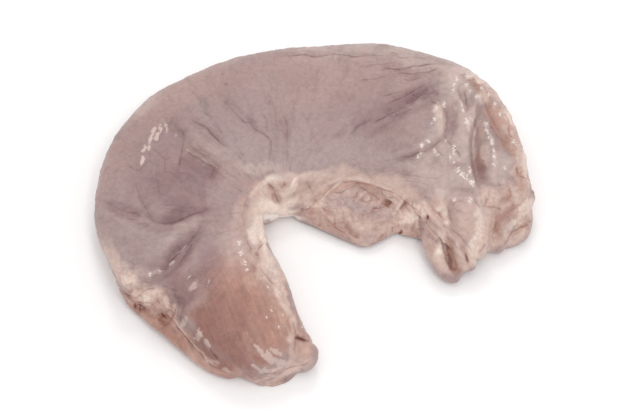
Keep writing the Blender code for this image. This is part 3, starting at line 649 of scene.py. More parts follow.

# Soft fields of colour, in layers from the lowest to the top one: a layer's tone, and for each of its
# fields the strength, x, y, half length and half width in pixels, and turn in degrees, if any. Besides the
# tissue's own colours, some fields are painted light: dark fields in the valleys, hollows and deep fold
# are painted shade, and thin pale, cream and white fields along the far edge, the fold edges right of the
# mound and the inner curve's edge are painted light that lifts the shade there.
FIELDS = (
    ("pink", (0.9, 310, 80, 115, 26), (0.9, 178, 92, 60, 20, -36), (0.7, 115, 165, 14, 45, 15),
     (0.8, 431, 250, 7, 15, 5), (0.8, 245, 195, 5, 16, 22)),
    ("grey", (0.8, 330, 153, 95, 18), (0.6, 235, 128, 40, 32, -30), (0.5, 125, 215, 26, 50),
     (0.6, 150, 240, 34, 18, -30), (0.3, 388, 145, 13, 6)),
    ("violet", (0.3, 350, 108, 34, 12, 6), (0.35, 150, 190, 22, 24), (0.65, 180, 188, 28, 22, 10),
     (0.85, 188, 206, 28, 10), (0.45, 126, 211, 26, 5, 20), (0.6, 181, 250, 36, 10, 132),
     (0.9, 180, 287, 16, 16), (0.75, 410, 99, 32, 9, -24), (0.35, 370, 123, 26, 9, -20),
     (0.2, 447, 158, 16, 9, 30), (0.16, 262, 95, 66, 36), (0.16, 368, 108, 50, 40),
     (0.3, 205, 186, 20, 8), (0.4, 155, 267, 9, 5, -20), (0.2, 160, 137, 8, 8), (0.2, 375, 85, 26, 15),
     (0.2, 290, 85, 24, 15), (0.35, 386, 144, 16, 6, 4), (0.25, 262, 101, 12, 8),
     (0.3, 136, 246, 10, 7)),
    ("pale", (0.35, 210, 146, 21, 7, 34), (0.6, 463, 134, 7, 34), (0.6, 479, 130, 5, 16),
     (0.6, 500, 170, 14, 26), (0.5, 372, 50, 84, 7, 2), (0.45, 422, 168, 30, 9, 6),
     (0.6, 434, 150, 26, 8, -22), (0.5, 262, 168, 24, 6), (0.6, 420, 62, 30, 6, 8),
     (0.4, 222, 57, 24, 4), (0.4, 308, 52, 12, 4), (0.5, 446, 158, 6, 10)),
    ("fat", (0.4, 440, 120, 6, 19, -5), (0.85, 521, 155, 8, 46, -12), (0.8, 494, 92, 20, 5, 50),
     (0.9, 508, 118, 20, 6, 64), (0.75, 318, 177, 36, 7, 3), (0.9, 442, 203, 10, 8, 20),
     (0.9, 257, 203, 7, 17, 24), (0.6, 114, 258, 7, 24, -22), (0.6, 126, 277, 16, 8, 50),
     (1, 151, 293, 17, 8, -6), (0.8, 163.5, 302, 4, 11, -10)),
    ("cream", (0.6, 525, 158, 4, 30, -10), (0.6, 472, 75, 16, 4, 25), (0.2, 345, 178, 66, 6, 4),
     (0.8, 400, 197, 24, 7, 37), (0.8, 440, 251, 6, 12, 10), (0.6, 273, 283, 10, 18, 25),
     (0.4, 130, 282, 10, 6, 40), (0.5, 470, 124, 3, 13)),
    ("deep", (0.75, 178, 217, 18, 7, -2), (0.3, 190, 205, 22, 7), (0.45, 177, 178, 7, 3, 10),
     (0.5, 180, 250, 28, 4, 132), (0.7, 179, 297, 9, 8, 110), (0.3, 412, 101, 12, 5, -30)),
    ("violet", (0.85, 202, 166, 22, 13, 12), (0.3, 168, 160, 22, 30), (0.3, 170, 299, 4, 9, -10),
     (0.3, 197, 186, 12, 18), (0.3, 456, 127, 5, 8), (0.25, 430, 150, 6, 6),
     (0.3, 175, 262, 18, 8, 132), (0.25, 417, 158, 9, 5, -10), (0.3, 177, 172, 14, 6, -20),
     (0.3, 196, 200, 14, 6)),
    ("rust", (0.8, 475, 86, 12, 4.5, 36), (0.8, 490, 108, 11, 5, 78), (0.8, 509, 151, 8, 4.5, 65),
     (0.8, 519, 172, 8, 5, 60), (0.7, 522, 187, 6, 6)),
    ("fat", (0.6, 368, 179, 36, 7, 9), (0.6, 411, 198, 26, 9, 36), (0.85, 515, 214, 24, 28, -30),
     (0.9, 482, 96, 8, 6, 40), (0.4, 375, 175, 40, 5, 9), (0.5, 427, 248, 7, 14, -10),
     (0.7, 516, 172, 5, 6)),
    ("web", (0.95, 360, 214, 66, 26, 2), (0.7, 240, 250, 20, 26, 10)),
    ("tan", (0.4, 370, 190, 17, 5, 26), (0.8, 338, 190, 12, 4, -18), (0.35, 316, 213, 13, 12),
     (0.45, 341, 232, 27, 7, 24), (0.8, 381, 238, 6, 3, -50), (0.6, 243, 212, 2, 19, 4),
     (0.5, 166, 291, 5, 5), (0.8, 362, 184, 18, 3.5, 9), (0.5, 432, 247, 5, 4)),
    ("fat", (0.8, 444, 225, 24, 7, 45), (0.8, 298, 193, 17, 12, 50), (0.9, 317, 189, 9, 9),
     (0.7, 356, 240, 14, 4, 20), (0.8, 317, 201, 7, 6), (0.7, 317, 200, 8, 5, -30),
     (0.5, 434, 232, 9, 6, 45), (0.7, 383, 188, 12, 3.5, 22)),
    ("cream", (0.6, 409, 219, 15, 12), (0.4, 430, 207, 8, 6, 45), (0.5, 530, 208, 8, 12, -30),
     (0.6, 512, 224, 12, 16, -35), (0.7, 270, 184, 17, 6, -15), (0.85, 284, 200, 9, 9),
     (1, 271, 211, 18, 11), (0.7, 292, 186, 3, 13, 35), (0.8, 258, 228, 7, 16),
     (0.4, 264, 262, 9, 18, 20), (0.8, 285, 212, 12, 4), (0.7, 479, 81, 9, 4, 38),
     (0.6, 314, 204, 13, 5, -8)),
    ("grey", (0.6, 489, 132, 4, 12, -10), (0.4, 195, 232, 20, 7, 132), (0.35, 268, 92, 26, 20),
     (0.3, 410, 113, 14, 8, -20), (0.4, 335, 203, 18, 8, 10), (0.4, 152, 289, 8, 4)),
    ("pale", (0.8, 485, 154, 5, 14), (0.8, 448, 195, 11, 6), (0.8, 452, 80, 13, 26, -10),
     (0.8, 440, 122, 7, 20, -3), (0.7, 471, 112, 5, 8), (0.3, 182, 230, 26, 8, -38),
     (0.3, 140, 275, 10, 8)),
    ("fat", (0.4, 441, 120, 6, 18, -3), (0.9, 268, 195, 6, 8), (0.9, 283, 191, 5, 8, 30),
     (0.8, 400, 233, 14, 5, 5), (0.3, 328, 196, 18, 8, -10)),
    ("tan", (0.6, 436, 213, 11, 3.5, 45), (0.8, 497, 222, 5, 13, 8), (0.5, 504, 212, 9, 4, -20),
     (0.8, 274, 192, 3, 8, -25), (0.5, 280, 186, 5, 4), (0.5, 404, 229, 16, 5, 10),
     (0.5, 408, 236, 16, 3.5, 5), (0.35, 330, 190, 16, 6, -15), (0.4, 524, 185, 5, 11)),
    ("web", (0.9, 463, 226, 17, 28), (0.6, 515, 238, 9, 7, -40), (0.6, 238, 213, 9, 15, 10)),
    ("violet", (0.5, 405, 205, 6, 2.6, -52), (0.6, 212, 263, 14, 18), (0.25, 280, 178, 5, 3),
     (0.4, 167, 292, 5, 5), (0.35, 167, 295, 5, 5), (0.13, 250, 115, 40, 36), (0.25, 290, 205, 5, 5),
     (0.3, 155, 270, 9, 6, -20)),
    ("muscle", (0.95, 236, 305, 36, 46, 15), (0.8, 258, 326, 26, 34, 20), (0.6, 264, 361, 10, 6, 40),
     (0.3, 430, 232, 4, 7)),
    ("meat", (0.85, 211, 322, 15, 36, 12), (0.8, 229, 350, 20, 17, 30), (0.7, 246, 367, 16, 7, 20),
     (0.55, 236, 312, 12, 34, 15), (0.4, 200, 279, 24, 16), (0.35, 190, 308, 12, 10, 30),
     (0.35, 238, 318, 9, 14, 15)),
    ("tan", (0.6, 300, 338, 14, 26), (0.5, 286, 332, 12, 26), (0.8, 447, 243, 4, 8),
     (0.3, 404, 215, 6, 6), (0.3, 247, 285, 8, 14)),
    ("fat", (0.7, 457, 254, 5, 11, 10), (0.9, 262, 245, 5, 12), (0.9, 261, 268, 6, 11, 30),
     (0.6, 254, 255, 4, 10), (0.6, 250, 211, 4, 20, 8), (0.7, 462, 256, 5, 6), (0.6, 397, 221, 5, 6),
     (0.6, 271, 189, 7, 6), (0.7, 397, 222, 5, 9), (0.6, 417, 230, 5, 5), (0.5, 398, 216, 4, 12),
     (0.6, 395, 226, 8, 4)),
    ("cream", (0.8, 478, 247, 7, 13), (0.6, 479, 226, 6, 19), (0.8, 263, 224, 4, 10),
     (0.5, 444, 117, 3, 15), (0.5, 272, 262, 5, 12, -25), (0.6, 440, 236, 4, 8, -20),
     (0.6, 415, 214, 6, 8)),
    ("muscle", (0.8, 274, 334, 12, 24), (0.9, 271, 340, 8, 10), (0.7, 256, 358, 6, 4, 30),
     (0.6, 242, 330, 8, 9), (0.5, 256, 186, 8, 4, -38), (0.3, 411, 210, 5, 5)),
    ("web", (0.9, 306, 356, 12, 14), (0.8, 291, 367, 15, 7, -15), (0.8, 268, 383, 26, 6, 5),
     (0.5, 275, 217, 20, 4)),
    ("fat", (0.8, 282, 300, 15, 6, 60), (0.9, 488, 222, 7, 18, 8), (0.8, 486, 243, 9, 12, 20),
     (0.8, 294, 369, 12, 5, -20), (0.8, 291, 345, 4, 18), (0.8, 475, 262, 8, 6), (0.6, 476, 256, 6, 6)),
    ("tan", (0.8, 456, 268, 4.5, 6, 15), (0.6, 285, 318, 8, 8), (0.8, 498, 224, 4, 14, 20),
     (0.8, 253, 281, 9, 10), (0.6, 290, 325, 6, 9), (0.7, 275, 373, 8, 4, -10), (0.7, 304, 349, 8, 7),
     (0.5, 465, 248, 4, 8, -10)),
    ("wall", (1, 164, 335, 60, 20, 43), (0.8, 506, 214, 9, 5, -40), (0.7, 508, 217, 12, 7, -50),
     (0.5, 512, 232, 6, 4)),
    ("violet", (0.5, 210, 283, 7, 9), (0.3, 190, 274, 24, 14, -30), (0.2, 186, 278, 32, 20, -20),
     (0.3, 466, 252, 5, 5)),
    ("tan", (0.5, 150, 316, 14, 6, 30), (0.7, 200, 362, 16, 7, 42), (0.8, 184, 336, 32, 3.5, 49),
     (0.4, 468, 254, 5, 5)),
    ("meat", (0.5, 203, 332, 6, 13, 35), (0.5, 257, 358, 5, 4, 30), (0.6, 240, 331, 7, 10),
     (0.25, 222, 272, 14, 18), (0.35, 258, 359, 12, 6), (0.3, 240, 332, 12, 14)),
    ("fat", (0.8, 465, 266, 5, 7), (0.8, 498, 241, 8, 8), (0.8, 294, 322, 4, 8), (0.6, 173, 313, 4, 5),
     (0.5, 261, 272, 5, 12, -25), (0.6, 263, 273, 5, 9, -25)),
    ("pale", (0.55, 446, 184, 34, 17, 8), (0.4, 433, 137, 9, 9)),
    ("cream", (0.35, 128, 285, 9, 6, 40), (0.5, 282, 300, 15, 5, 60), (0.95, 443, 212, 6, 12, -30)),
    ("tan", (0.7, 276, 308, 8, 13), (0.6, 192, 346, 9, 5, 49), (0.5, 171, 311, 6, 7),
     (0.5, 435, 204, 7, 6)),
    ("fat", (0.8, 484, 199, 13, 10), (0.9, 138, 295, 10, 4, 20), (0.6, 410, 192, 10, 6, 36),
     (0.9, 285, 293, 4, 24, -12)),
    ("web", (0.8, 444, 266, 14, 6, 60), (0.9, 274, 379, 12, 5, -8)),
    ("tan", (0.5, 152, 307, 14, 5, 35), (0.6, 452, 260, 5, 14, -14), (0.6, 142, 301, 12, 3.5, 15)),
    ("muscle", (0.6, 240, 377, 10, 4, 20), (0.5, 268, 326, 9, 10)),
    ("fat", (0.6, 439, 265, 8, 12, -20), (0.6, 137, 300, 9, 4, 25), (0.7, 276, 372, 9, 4, -10)),
    ("tan", (0.5, 453, 272, 6, 5), (0.7, 158, 308, 14, 5, 30)),
    ("meat", (0.7, 247, 377, 7, 4, 20), (0.6, 448, 262, 3, 9, -8), (0.6, 455, 272, 4, 5),
     (0.3, 258, 325, 17, 24, 15), (0.5, 255, 379, 10, 5, 15)),
    ("wall", (0.8, 218, 374, 20, 6, 20), (0.7, 160, 313, 10, 5, 35)),
    ("tan", (0.6, 208, 360, 14, 4, 45), (0.6, 450, 248, 4, 12, -10), (0.7, 172, 318, 4, 10, -40),
     (0.5, 447, 252, 3, 12, -8)),
    ("rust", (0.9, 496, 124, 10, 7, 70), (0.7, 506, 199, 8, 5, -20)),
    ("brown", (0.5, 494, 130, 7, 4, 60), (0.3, 474.5, 166, 2, 10), (0.5, 387, 201, 5, 5)),
    # The first field here is painted light that lifts the shade along the deep fold's edge
    ("cream", (0.4, 471, 150, 3, 14), (0.6, 143, 299, 9, 4, 10)),
    ("pale", (0.6, 461, 152, 14, 9), (0.6, 161, 308, 7, 4, 30), (0.5, 470, 132, 3, 25)),
    # The first field here is painted shade in the deep fold right of the mound
    ("meat", (0.5, 480, 164, 4, 14, -8), (0.4, 142, 308, 8, 4, 35)),
    ("fat", (0.6, 444, 234, 4, 5, -40), (0.5, 492, 206, 12, 4)),
    ("deep", (0.35, 202, 163, 18, 8, 25)),
    ("violet", (0.7, 212, 175, 11, 11), (0.2, 165, 150, 64, 46, -30), (0.25, 458, 214, 6, 10)),
    ("pale", (0.5, 143, 107, 20, 6, -36), (0.35, 207, 157, 10, 5, 30), (0.4, 475, 154, 3, 8)),
    # Painted light along the inner curve's edge
    ("white", (0.8, 281, 219, 24, 4)),
    ("rust", (0.8, 503, 139, 9, 4.5, 42)),
    ("fat", (0.8, 508, 126, 10, 6, 70)),
    ("tan", (0.4, 497, 128, 5, 5)),
    ("brown", (0.6, 497, 128, 6, 4, 60)),
    ("rust", (0.7, 496, 126, 5, 5), (0.4, 505, 140, 8, 12, 60)),
    ("tan", (0.8, 496, 114, 5, 9, -10), (0.8, 510, 150, 5, 8)),
    ("muscle", (0.8, 226, 368, 14, 6, 20), (0.3, 494, 126, 6, 9)),
    ("cream", (1, 265, 237, 4, 17), (0.9, 508, 117, 8, 4, 64)),
    ("pink", (0.5, 376, 210, 9, 7)),
    ("tan", (0.3, 362, 213, 10, 10), (0.5, 505, 122, 8, 5, 60)),
    ("grey", (0.45, 358, 209, 17, 8, 10), (0.3, 504, 220, 14, 16), (0.3, 372, 210, 30, 10, 8)),
    ("deep", (0.4, 209, 175, 6, 3.5)),
    ("wall", (0.6, 206, 366, 8, 5, 40)),
    ("violet", (0.22, 185, 188, 34, 24, -15)),
    ("meat", (0.8, 226, 364, 9, 5, 20)),
)

# Where the wet skin glints, both through its wet coat and as painted glints: x, y and reach
GLINTS = (
    (456.5, 79.5, 3), (454, 85, 3), (453.5, 90, 3), (466.5, 85, 3), (469.5, 91, 3), (467, 77, 3),
    (477, 97, 4), (462.5, 105, 3), (464, 110, 3), (467, 119, 4), (466.5, 122, 3), (455.5, 108, 3),
    (444, 104, 3), (445, 107, 2), (437, 107.5, 3), (435, 110.5, 2), (434.5, 119, 3), (431.5, 123.5, 2),
    (421, 146, 4), (428, 142, 4), (417.5, 156.5, 3), (421, 153, 3), (437, 154.5, 3), (435, 151, 3),
    (445, 140.5, 3), (454, 147, 3), (455, 150, 3), (453.5, 153, 3), (450, 157, 3), (453.5, 162.5, 3),
    (457, 169.5, 4), (460, 169, 3), (462, 174, 4), (466, 177, 4), (470, 167, 3), (470, 172, 3),
    (472, 181, 4), (485.5, 124, 5), (486.5, 131.5, 4), (489, 137, 3), (492, 140, 3), (492, 143, 3),
    (494, 150.5, 3), (494, 157, 4), (494, 164, 3), (495, 104, 4), (489, 94, 3), (500, 114.5, 3),
    (514, 142, 4), (481.5, 87.5, 3), (504.5, 168, 3), (472.5, 183, 4), (470, 200, 4), (454, 199.5, 4),
    (239, 243, 4), (240.6, 252.5, 4), (245, 262.5, 4), (247, 270, 3), (268.3, 286.4, 2),
    (275.1, 290.4, 2), (271.1, 311, 2.6), (265.7, 317, 2.4), (278, 327.3, 2.8), (246.7, 333.3, 1.4),
    (282.3, 315, 2), (285.5, 326, 1.5), (301.7, 327, 2), (440, 252, 4), (160, 271, 2.5), (150, 275, 3),
    (182, 252, 2), (173, 262, 2),
)


def smooth_rows(rows, count):
    """Points on a smooth curve through the rows, with count steps from each row to the next."""
    rows = np.array(rows, float)
    padded = np.vstack([2 * rows[0] - rows[1], rows, 2 * rows[-1] - rows[-2]])
    found = []
    for i in range(len(rows) - 1):
        a, b, c, d = padded[i : i + 4]
        for t in np.linspace(0, 1, count, endpoint=False):
            found.append(
                b
                + 0.5 * t * (c - a)
                + 0.5 * t * t * (2 * a - 5 * b + 4 * c - d)
                + 0.5 * t**3 * (3 * b - a - 3 * c + d)
            )
    return np.array(found + [rows[-1]])


def section():
    """Across and up values, from -1 to 1, of the rounded outline that every section shares."""
    angle = np.linspace(0, 2 * np.pi, SECTION_SIDES, endpoint=False)
    across, up = np.cos(angle), np.sin(angle)
    power = 2 / SECTION_POWER
    return np.sign(across) * np.abs(across) ** power, np.sign(up) * np.abs(up) ** power


def add_skin(mesh, rings):
    """Adds one closed body to the bmesh from rings of points that run along it."""
    made = [[mesh.verts.new(Vector(p) * MM) for p in ring] for ring in rings]
    sides = len(rings[0])
    for near, far in zip(made, made[1:]):
        for i in range(sides):
            j = (i + 1) % sides
            mesh.faces.new((near[i], far[i], far[j], near[j]))
    mesh.faces.new(made[0])
    mesh.faces.new(made[-1][::-1])


def add_lofted(mesh, rows, crowned):
    """Adds a body between two edges. A crowned one reaches under the table and is cut flat there."""
    across, up = section()
    rings = []
    for row in smooth_rows(rows, RINGS_PER_ROW):
        outer, inner, swell = row[:3], row[3:6], row[6]
        spine = (outer + inner) / 2 + np.outer(across, (outer - inner) / 2)
        if crowned:
            height = np.where(up > 0, swell * up, (spine[:, 2] + 4) * up)
        else:
            height = swell * up
        spine[:, 2] += height
        rings.append(spine)
    add_skin(mesh, rings)


def add_lobe(mesh, rows):
    """Adds a lobe: a tube with an oval section that closes in a round nose at each end."""
    middle = smooth_rows(rows, RINGS_PER_ROW)
    across, up = section()
    along = np.gradient(middle[:, :2], axis=0)
    along /= np.linalg.norm(along, axis=1)[:, None]
    side = np.stack([-along[:, 1], along[:, 0]], axis=1)
    noses = [
        (middle[0], side[0], -along[0]),
        (middle[-1], side[-1], along[-1]),
    ]
    rings = [oval(row, turn, across, up) for row, turn in zip(middle, side)]
    start, end = [
        [oval(nose_row(row, out, t), turn, across, up) for t in (0.35, 0.65, 0.88, 0.98)]
        for row, turn, out in noses
    ]
    add_skin(mesh, start[::-1] + rings + end)


def oval(row, turn, across, up):
    """One ring of a lobe, square to its middle line in plan."""
    x, y, z, wide, high = row
    return np.stack(
        [x + turn[0] * wide * across, y + turn[1] * wide * across, z + high * up], axis=1
    )


def nose_row(row, out, t):
    """A lobe's end row moved a share t out along its round nose."""
    x, y, z, wide, high = row
    shrink = np.sqrt(1 - t * t)
    return x + out[0] * wide * t, y + out[1] * wide * t, z, wide * shrink, high * shrink


def nearest_on(fold, points):
    """For each point, in plan: the signed distance to a fold's line and the share of its length."""
    line = smooth_rows(fold, 8)
    span = np.linalg.norm(np.diff(line, axis=0), axis=1)
    share = np.concatenate([[0], np.cumsum(span)]) / span.sum()
    best = np.full(len(points), 1e9)
    side = np.zeros(len(points))
    along = np.zeros(len(points))
    for a, b, s, t in zip(line, line[1:], share, share[1:]):
        way = b - a
        off = points[:, :2] - a
        step = np.clip(off @ way / (way @ way), 0, 1)
        gap = np.linalg.norm(off - step[:, None] * way, axis=1)
        turn = way[0] * off[:, 1] - way[1] * off[:, 0]
        near = gap < best
        best[near] = gap[near]
        side[near] = np.sign(turn[near])
        along[near] = (s + step * (t - s))[near]
    return best, side, along


def fold_height(kind, size, width, line, points):
    """How far one fold lifts each point."""
    gap, side, along = nearest_on(line, points)
    fade = 1 if kind == BULGE else np.minimum(1, 5 * np.minimum(along, 1 - along) + 0.15)
    if kind == STEP:
        shape = 0.5 * np.tanh(side * gap / (0.5 * width)) * np.exp(-gap / (2.2 * width))
    elif kind == CREASE:
        shape = -np.exp(-gap / width)
    else:
        shape = np.exp(-((gap / width) ** 2)) * (-1 if kind == HOLLOW else 1)
    return size * fade * shape


def noise_at(points, scale):
    return np.array([noise.noise(Vector(p) / scale) for p in points])


def two_noises(points, scale, first, second):
    """Two noises of one size, each from its own shift, as offsets in x and y."""
    return np.stack([noise_at(points + first, scale), noise_at(points + second, scale)], axis=1)


def fattiness(points):
    """From 0 to 1, how fatty the skin is at each point."""
    found = np.zeros(len(points))
    for x, y, reach in FATTY + SKIN_FAT:
        gap = np.hypot(points[:, 0] - x, points[:, 1] - y) / reach
        found = np.maximum(found, np.exp(-(gap**4)))
    return found


def line_height(kind, size, width, line, points):
    """As fold_height, and worked out only for the points that lie near the line."""
    height = np.zeros(len(points))
    near = within(line, 5 * width, points)
    height[near] = fold_height(kind, size, width, line, points[near])
    return height


def within(line, reach, points):
    """Which points lie inside the line's box, grown by reach."""
    low = np.min(line, axis=0) - reach
    high = np.max(line, axis=0) + reach
    return np.all((points[:, :2] > low) & (points[:, :2] < high), axis=1)


def to_photo(points):
    """Where the camera sees each point, in the photograph's pixels."""
    off = points - EYE
    depth = -(off @ BACK)
    x = PHOTO_WIDTH / 2 + FOCAL * (off @ RIGHT) / depth
    y = PHOTO_HEIGHT / 2 - FOCAL * (off @ UP) / depth
    return np.stack([x, y], axis=1)


def smooth_share(value, low, high):
    """From 0 at low to 1 at high, with a soft start and end."""
    t = np.clip((value - low) / (high - low), 0, 1)
    return t * t * (3 - 2 * t)


def facing(points, normals):
    """From 0 to 1, how far the skin at each point faces the camera."""
    way = EYE - points
    way /= np.linalg.norm(way, axis=1)[:, None]
    return smooth_share(np.sum(normals * way, axis=1), *FACING)


def with_hidden(seen, least):
    """A share that is 1 in full view and least on the sides out of view."""
    return least + (1 - least) * seen


def upward(normals):
    """From 0 under the skin to 1 where it can take a fold: the underside stays plain."""
    return np.clip((normals[:, 2] + 0.55) / 0.5, 0, 1)


def strokes(rows):
    """Each fold's or wrinkle's kind, depth or height, half width, and points along it."""
    for kind, size, width, *path in rows:
        yield kind, size, width, np.reshape(path, (-1, 2))


def fields():
    """Each field of colour: its tone, its strength, and its place and size."""
    for tone, *layer in FIELDS:
        for strength, *place in layer:
            yield tone, strength, place


def clear_scene():
    for item in [o for o in bpy.data.objects if o.type in ("CAMERA", "LIGHT")]:
        bpy.data.objects.remove(item)


def linked(name, data):
    made = bpy.data.objects.new(name, data)
    bpy.context.scene.collection.objects.link(made)
    return made


def object_from(mesh, name):
    data = bpy.data.meshes.new(name)
    mesh.to_mesh(data)
    mesh.free()
    return linked(name, data)


def bake_modifiers(item):
    """Replaces the object's mesh by the one that its modifiers make."""
    graph = bpy.context.evaluated_depsgraph_get()
    made = bpy.data.meshes.new_from_object(item.evaluated_get(graph))
    item.modifiers.clear()
    item.data = made


def fused_body():
    """All the bodies grown into one skin, softened where they meet."""
    mesh = bmesh.new()
    add_lofted(mesh, BAG_RIBS, crowned=True)
    add_lofted(mesh, WEB_RIBS, crowned=False)
    add_lofted(mesh, BACK_WALL_RIBS, crowned=False)
    for rows in (*LOBES.values(), TIP_FOOT):
        add_lobe(mesh, rows)
    bmesh.ops.recalc_face_normals(mesh, faces=mesh.faces)
    body = object_from(mesh, "stomach_skin")
    fuse = body.modifiers.new("fuse", "REMESH")
    fuse.mode = "VOXEL"
    fuse.voxel_size = VOXEL * MM
    soften = body.modifiers.new("soften", "SMOOTH")
    soften.iterations = SOFTENING_ROUNDS
    soften.factor = 0.5
    bake_modifiers(body)
    return body


def stored(items, name, width):
    """One property of all the items, as rows of numbers."""
    values = np.empty(len(items) * width, np.float32)
    items.foreach_get(name, values)
    return values.reshape(-1, width).astype(float)


def points_of(body):
    return stored(body.data.vertices, "co", 3) / MM


def normals_of(body):
    return stored(body.data.vertices, "normal", 3)


def put_points(body, points):
    body.data.vertices.foreach_set("co", (points * MM).astype(np.float32).ravel())
    body.data.update()


def keep_values(body, name, values):
    """Stores one number for each vertex, for the material and for the steps that come later."""
    kept = body.data.attributes.new(name, "FLOAT", "POINT")
    kept.data.foreach_set("value", np.asarray(values, np.float32))


def kept_values(body, name):
    return stored(body.data.attributes[name].data, "value", 1)[:, 0]


def fold_skin(body):
    """The large folds, as in the solid."""
    points = points_of(body)
    height = np.zeros(len(points))
    for kind, size, width, line in strokes(FOLDS.values()):
        height += line_height(kind, size, width, line, points)
    for scale, size in UNEVEN:
        height += size * noise_at(points, scale)
    normals = normals_of(body)
    lumps = LUMP_HEIGHT * fattiness(points) * np.clip(1.6 * normals[:, 2], 0.2, 1)
    height += lumps * np.abs(noise_at(points, LUMP_SIZE)) * 2
    put_points(body, points + normals * (height * upward(normals))[:, None])


def fan_places(spots):
    """Where each point lies on the fan of faint lines that run out from the inner corner."""
    off = spots - FAN_MIDDLE
    turn = np.arctan2(off[:, 0], -off[:, 1]) / math.pi
    far = np.hypot(off[:, 0], off[:, 1])
    return np.stack([turn * FAN_LINES, far / FAN_WAVE, 0 * far], axis=1)


def turned(off, angle):
    """Offsets measured square to and along a line at an angle from the pixels' x."""
    x, y = off[:, 0], off[:, 1]
    return x * math.sin(angle) - y * math.cos(angle), x * math.cos(angle) + y * math.sin(angle)


def wrinkle_skin(body):
    """The fine wrinkles that the photograph shows, and a guess at those on the sides it hides."""
    points = points_of(body)
    normals = normals_of(body)
    spots = to_photo(points)
    seen = facing(points, normals)
    spots += WANDER * two_noises(points, WANDER_WAVE, 0, 45)
    uneven = 1 + DEPTH_CHANGE * noise_at(points + 77, WANDER_WAVE)
    lines = np.zeros(len(points))
    for kind, size, width, line in strokes(WRINKLES):
        lines += line_height(kind, size, max(width, SOFT_WIDTH), line, spots) * uneven
    # The painted shade of each crease's line, for the material
    side, painted_shade = crease_shade_lines(spots)
    keep_values(body, "crease_side", side)
    keep_values(body, "crease", painted_shade * uneven * seen)
    fat = fattiness(points)
    height = np.clip(lines, DEEPEST, None) * (SKIN_DEPTH + (FAT_DEPTH - SKIN_DEPTH) * fat)
    crepe = ridged(points, CREPE_SIZE)
    pebbles = ridged(points, PEBBLE_SIZE)
    height = seen * height + (1 - seen) * HIDDEN_CREPE * crepe
    height += CREPE_HEIGHT * crepe * (1 - fat)
    height += PEBBLE_HEIGHT * pebbles * fat * with_hidden(seen, HIDDEN_PEBBLES)
    keep_values(body, "relief", lines * seen)
    put_points(body, points + normals * (height * upward(normals))[:, None])


def crease_shade_lines(spots):
    """The painted shade along each crease's line: how far a point lies to its left, in half widths, and
    how dark the painted shade is there. The signed distance runs evenly across a line, so the material can
    draw one that is finer than the triangles."""
    side = np.full(len(spots), FAR_SIDE)
    painted_shade = np.zeros(len(spots))
    for kind, size, width, line in strokes(WRINKLES):
        if kind not in (CREASE, STEP):
            continue
        near = np.flatnonzero(within(line, FAR_SIDE * width, spots))
        gap, turn, along = nearest_on(line, spots[near])
        gap /= width
        nearest = gap < np.abs(side[near])
        near, gap, turn, along = near[nearest], gap[nearest], turn[nearest], along[nearest]
        side[near] = gap * np.where(turn < 0, -1, 1)
        fade = np.minimum(1, 6 * np.minimum(along, 1 - along) + 0.1)
        clear = smooth_share(-gap, -FAR_SIDE, -NEAR_SIDE)
        painted_shade[near] = fade * min(1, size / CREASE_SHADE_DEPTH) * clear
    return side, painted_shade


def ridged(points, scale):
    """Noise with rounded lumps and sharp creases between them, from about -0.5 to 0.5."""
    first = np.abs(noise_at(points, scale))
    second = np.abs(noise_at(points + 57.0, scale * 0.47))
    return 1.3 * first + 0.6 * second - 0.45


def rest_on_table(body):
    """Cuts the underside flat at the table, and keeps the skin that faces up clear of it."""
    points = points_of(body)
    least = FOOT_EDGE * np.clip(3 * normals_of(body)[:, 2], 0, 1)
    points[:, 2] = np.maximum(np.where(points[:, 2] < FOOT_SNAP, 0, points[:, 2]), least)
    put_points(body, points)


def thin_out(body):
    """Spends the triangles where the camera sees the skin, and where it bends."""
    seen = facing(points_of(body), normals_of(body)) > 0
    spare = body.vertex_groups.new(name="spare")
    spare.add(np.flatnonzero(seen).tolist(), SPARE_SEEN, "REPLACE")
    spare.add(np.flatnonzero(~seen).tolist(), 1.0, "REPLACE")
    body.data.calc_loop_triangles()
    thin = body.modifiers.new("thin", "DECIMATE")
    thin.ratio = TRIANGLES / len(body.data.loop_triangles)
    thin.use_collapse_triangulate = True
    thin.vertex_group = spare.name
    thin.vertex_group_factor = SPARE_PULL
    bake_modifiers(body)
    body.vertex_groups.clear()


def linear(tone):
    """A named tone as linear light."""
    value = np.array(TONES[tone]) / 255
    return np.where(value <= 0.04045, value / 12.92, ((value + 0.055) / 1.055) ** 2.4)


def mixed(colour, tone, share):
    return colour + (linear(tone) - colour) * np.clip(share, 0, 1)[:, None]


def oval_reach(spots, x, y, long, short, turn=0):
    """0 at the middle of a turned oval, 1 on its edge."""
    across, along = turned(spots - np.array([x, y]), math.radians(turn))
    return np.hypot(along / long, across / short)


def deepest(spots, marks):
    """For each point, how deep it lies in a mark, from 0 on the mark's edge to 1 in its middle, and
    the mark's strength."""
    depth = np.full(len(spots), -1.0)
    strength = np.zeros(len(spots))
    for given, *place in marks:
        reach = 1 - oval_reach(spots, *place)
        nearer = reach > depth
        depth[nearer] = reach[nearer]
        strength[nearer] = given
    return depth, strength


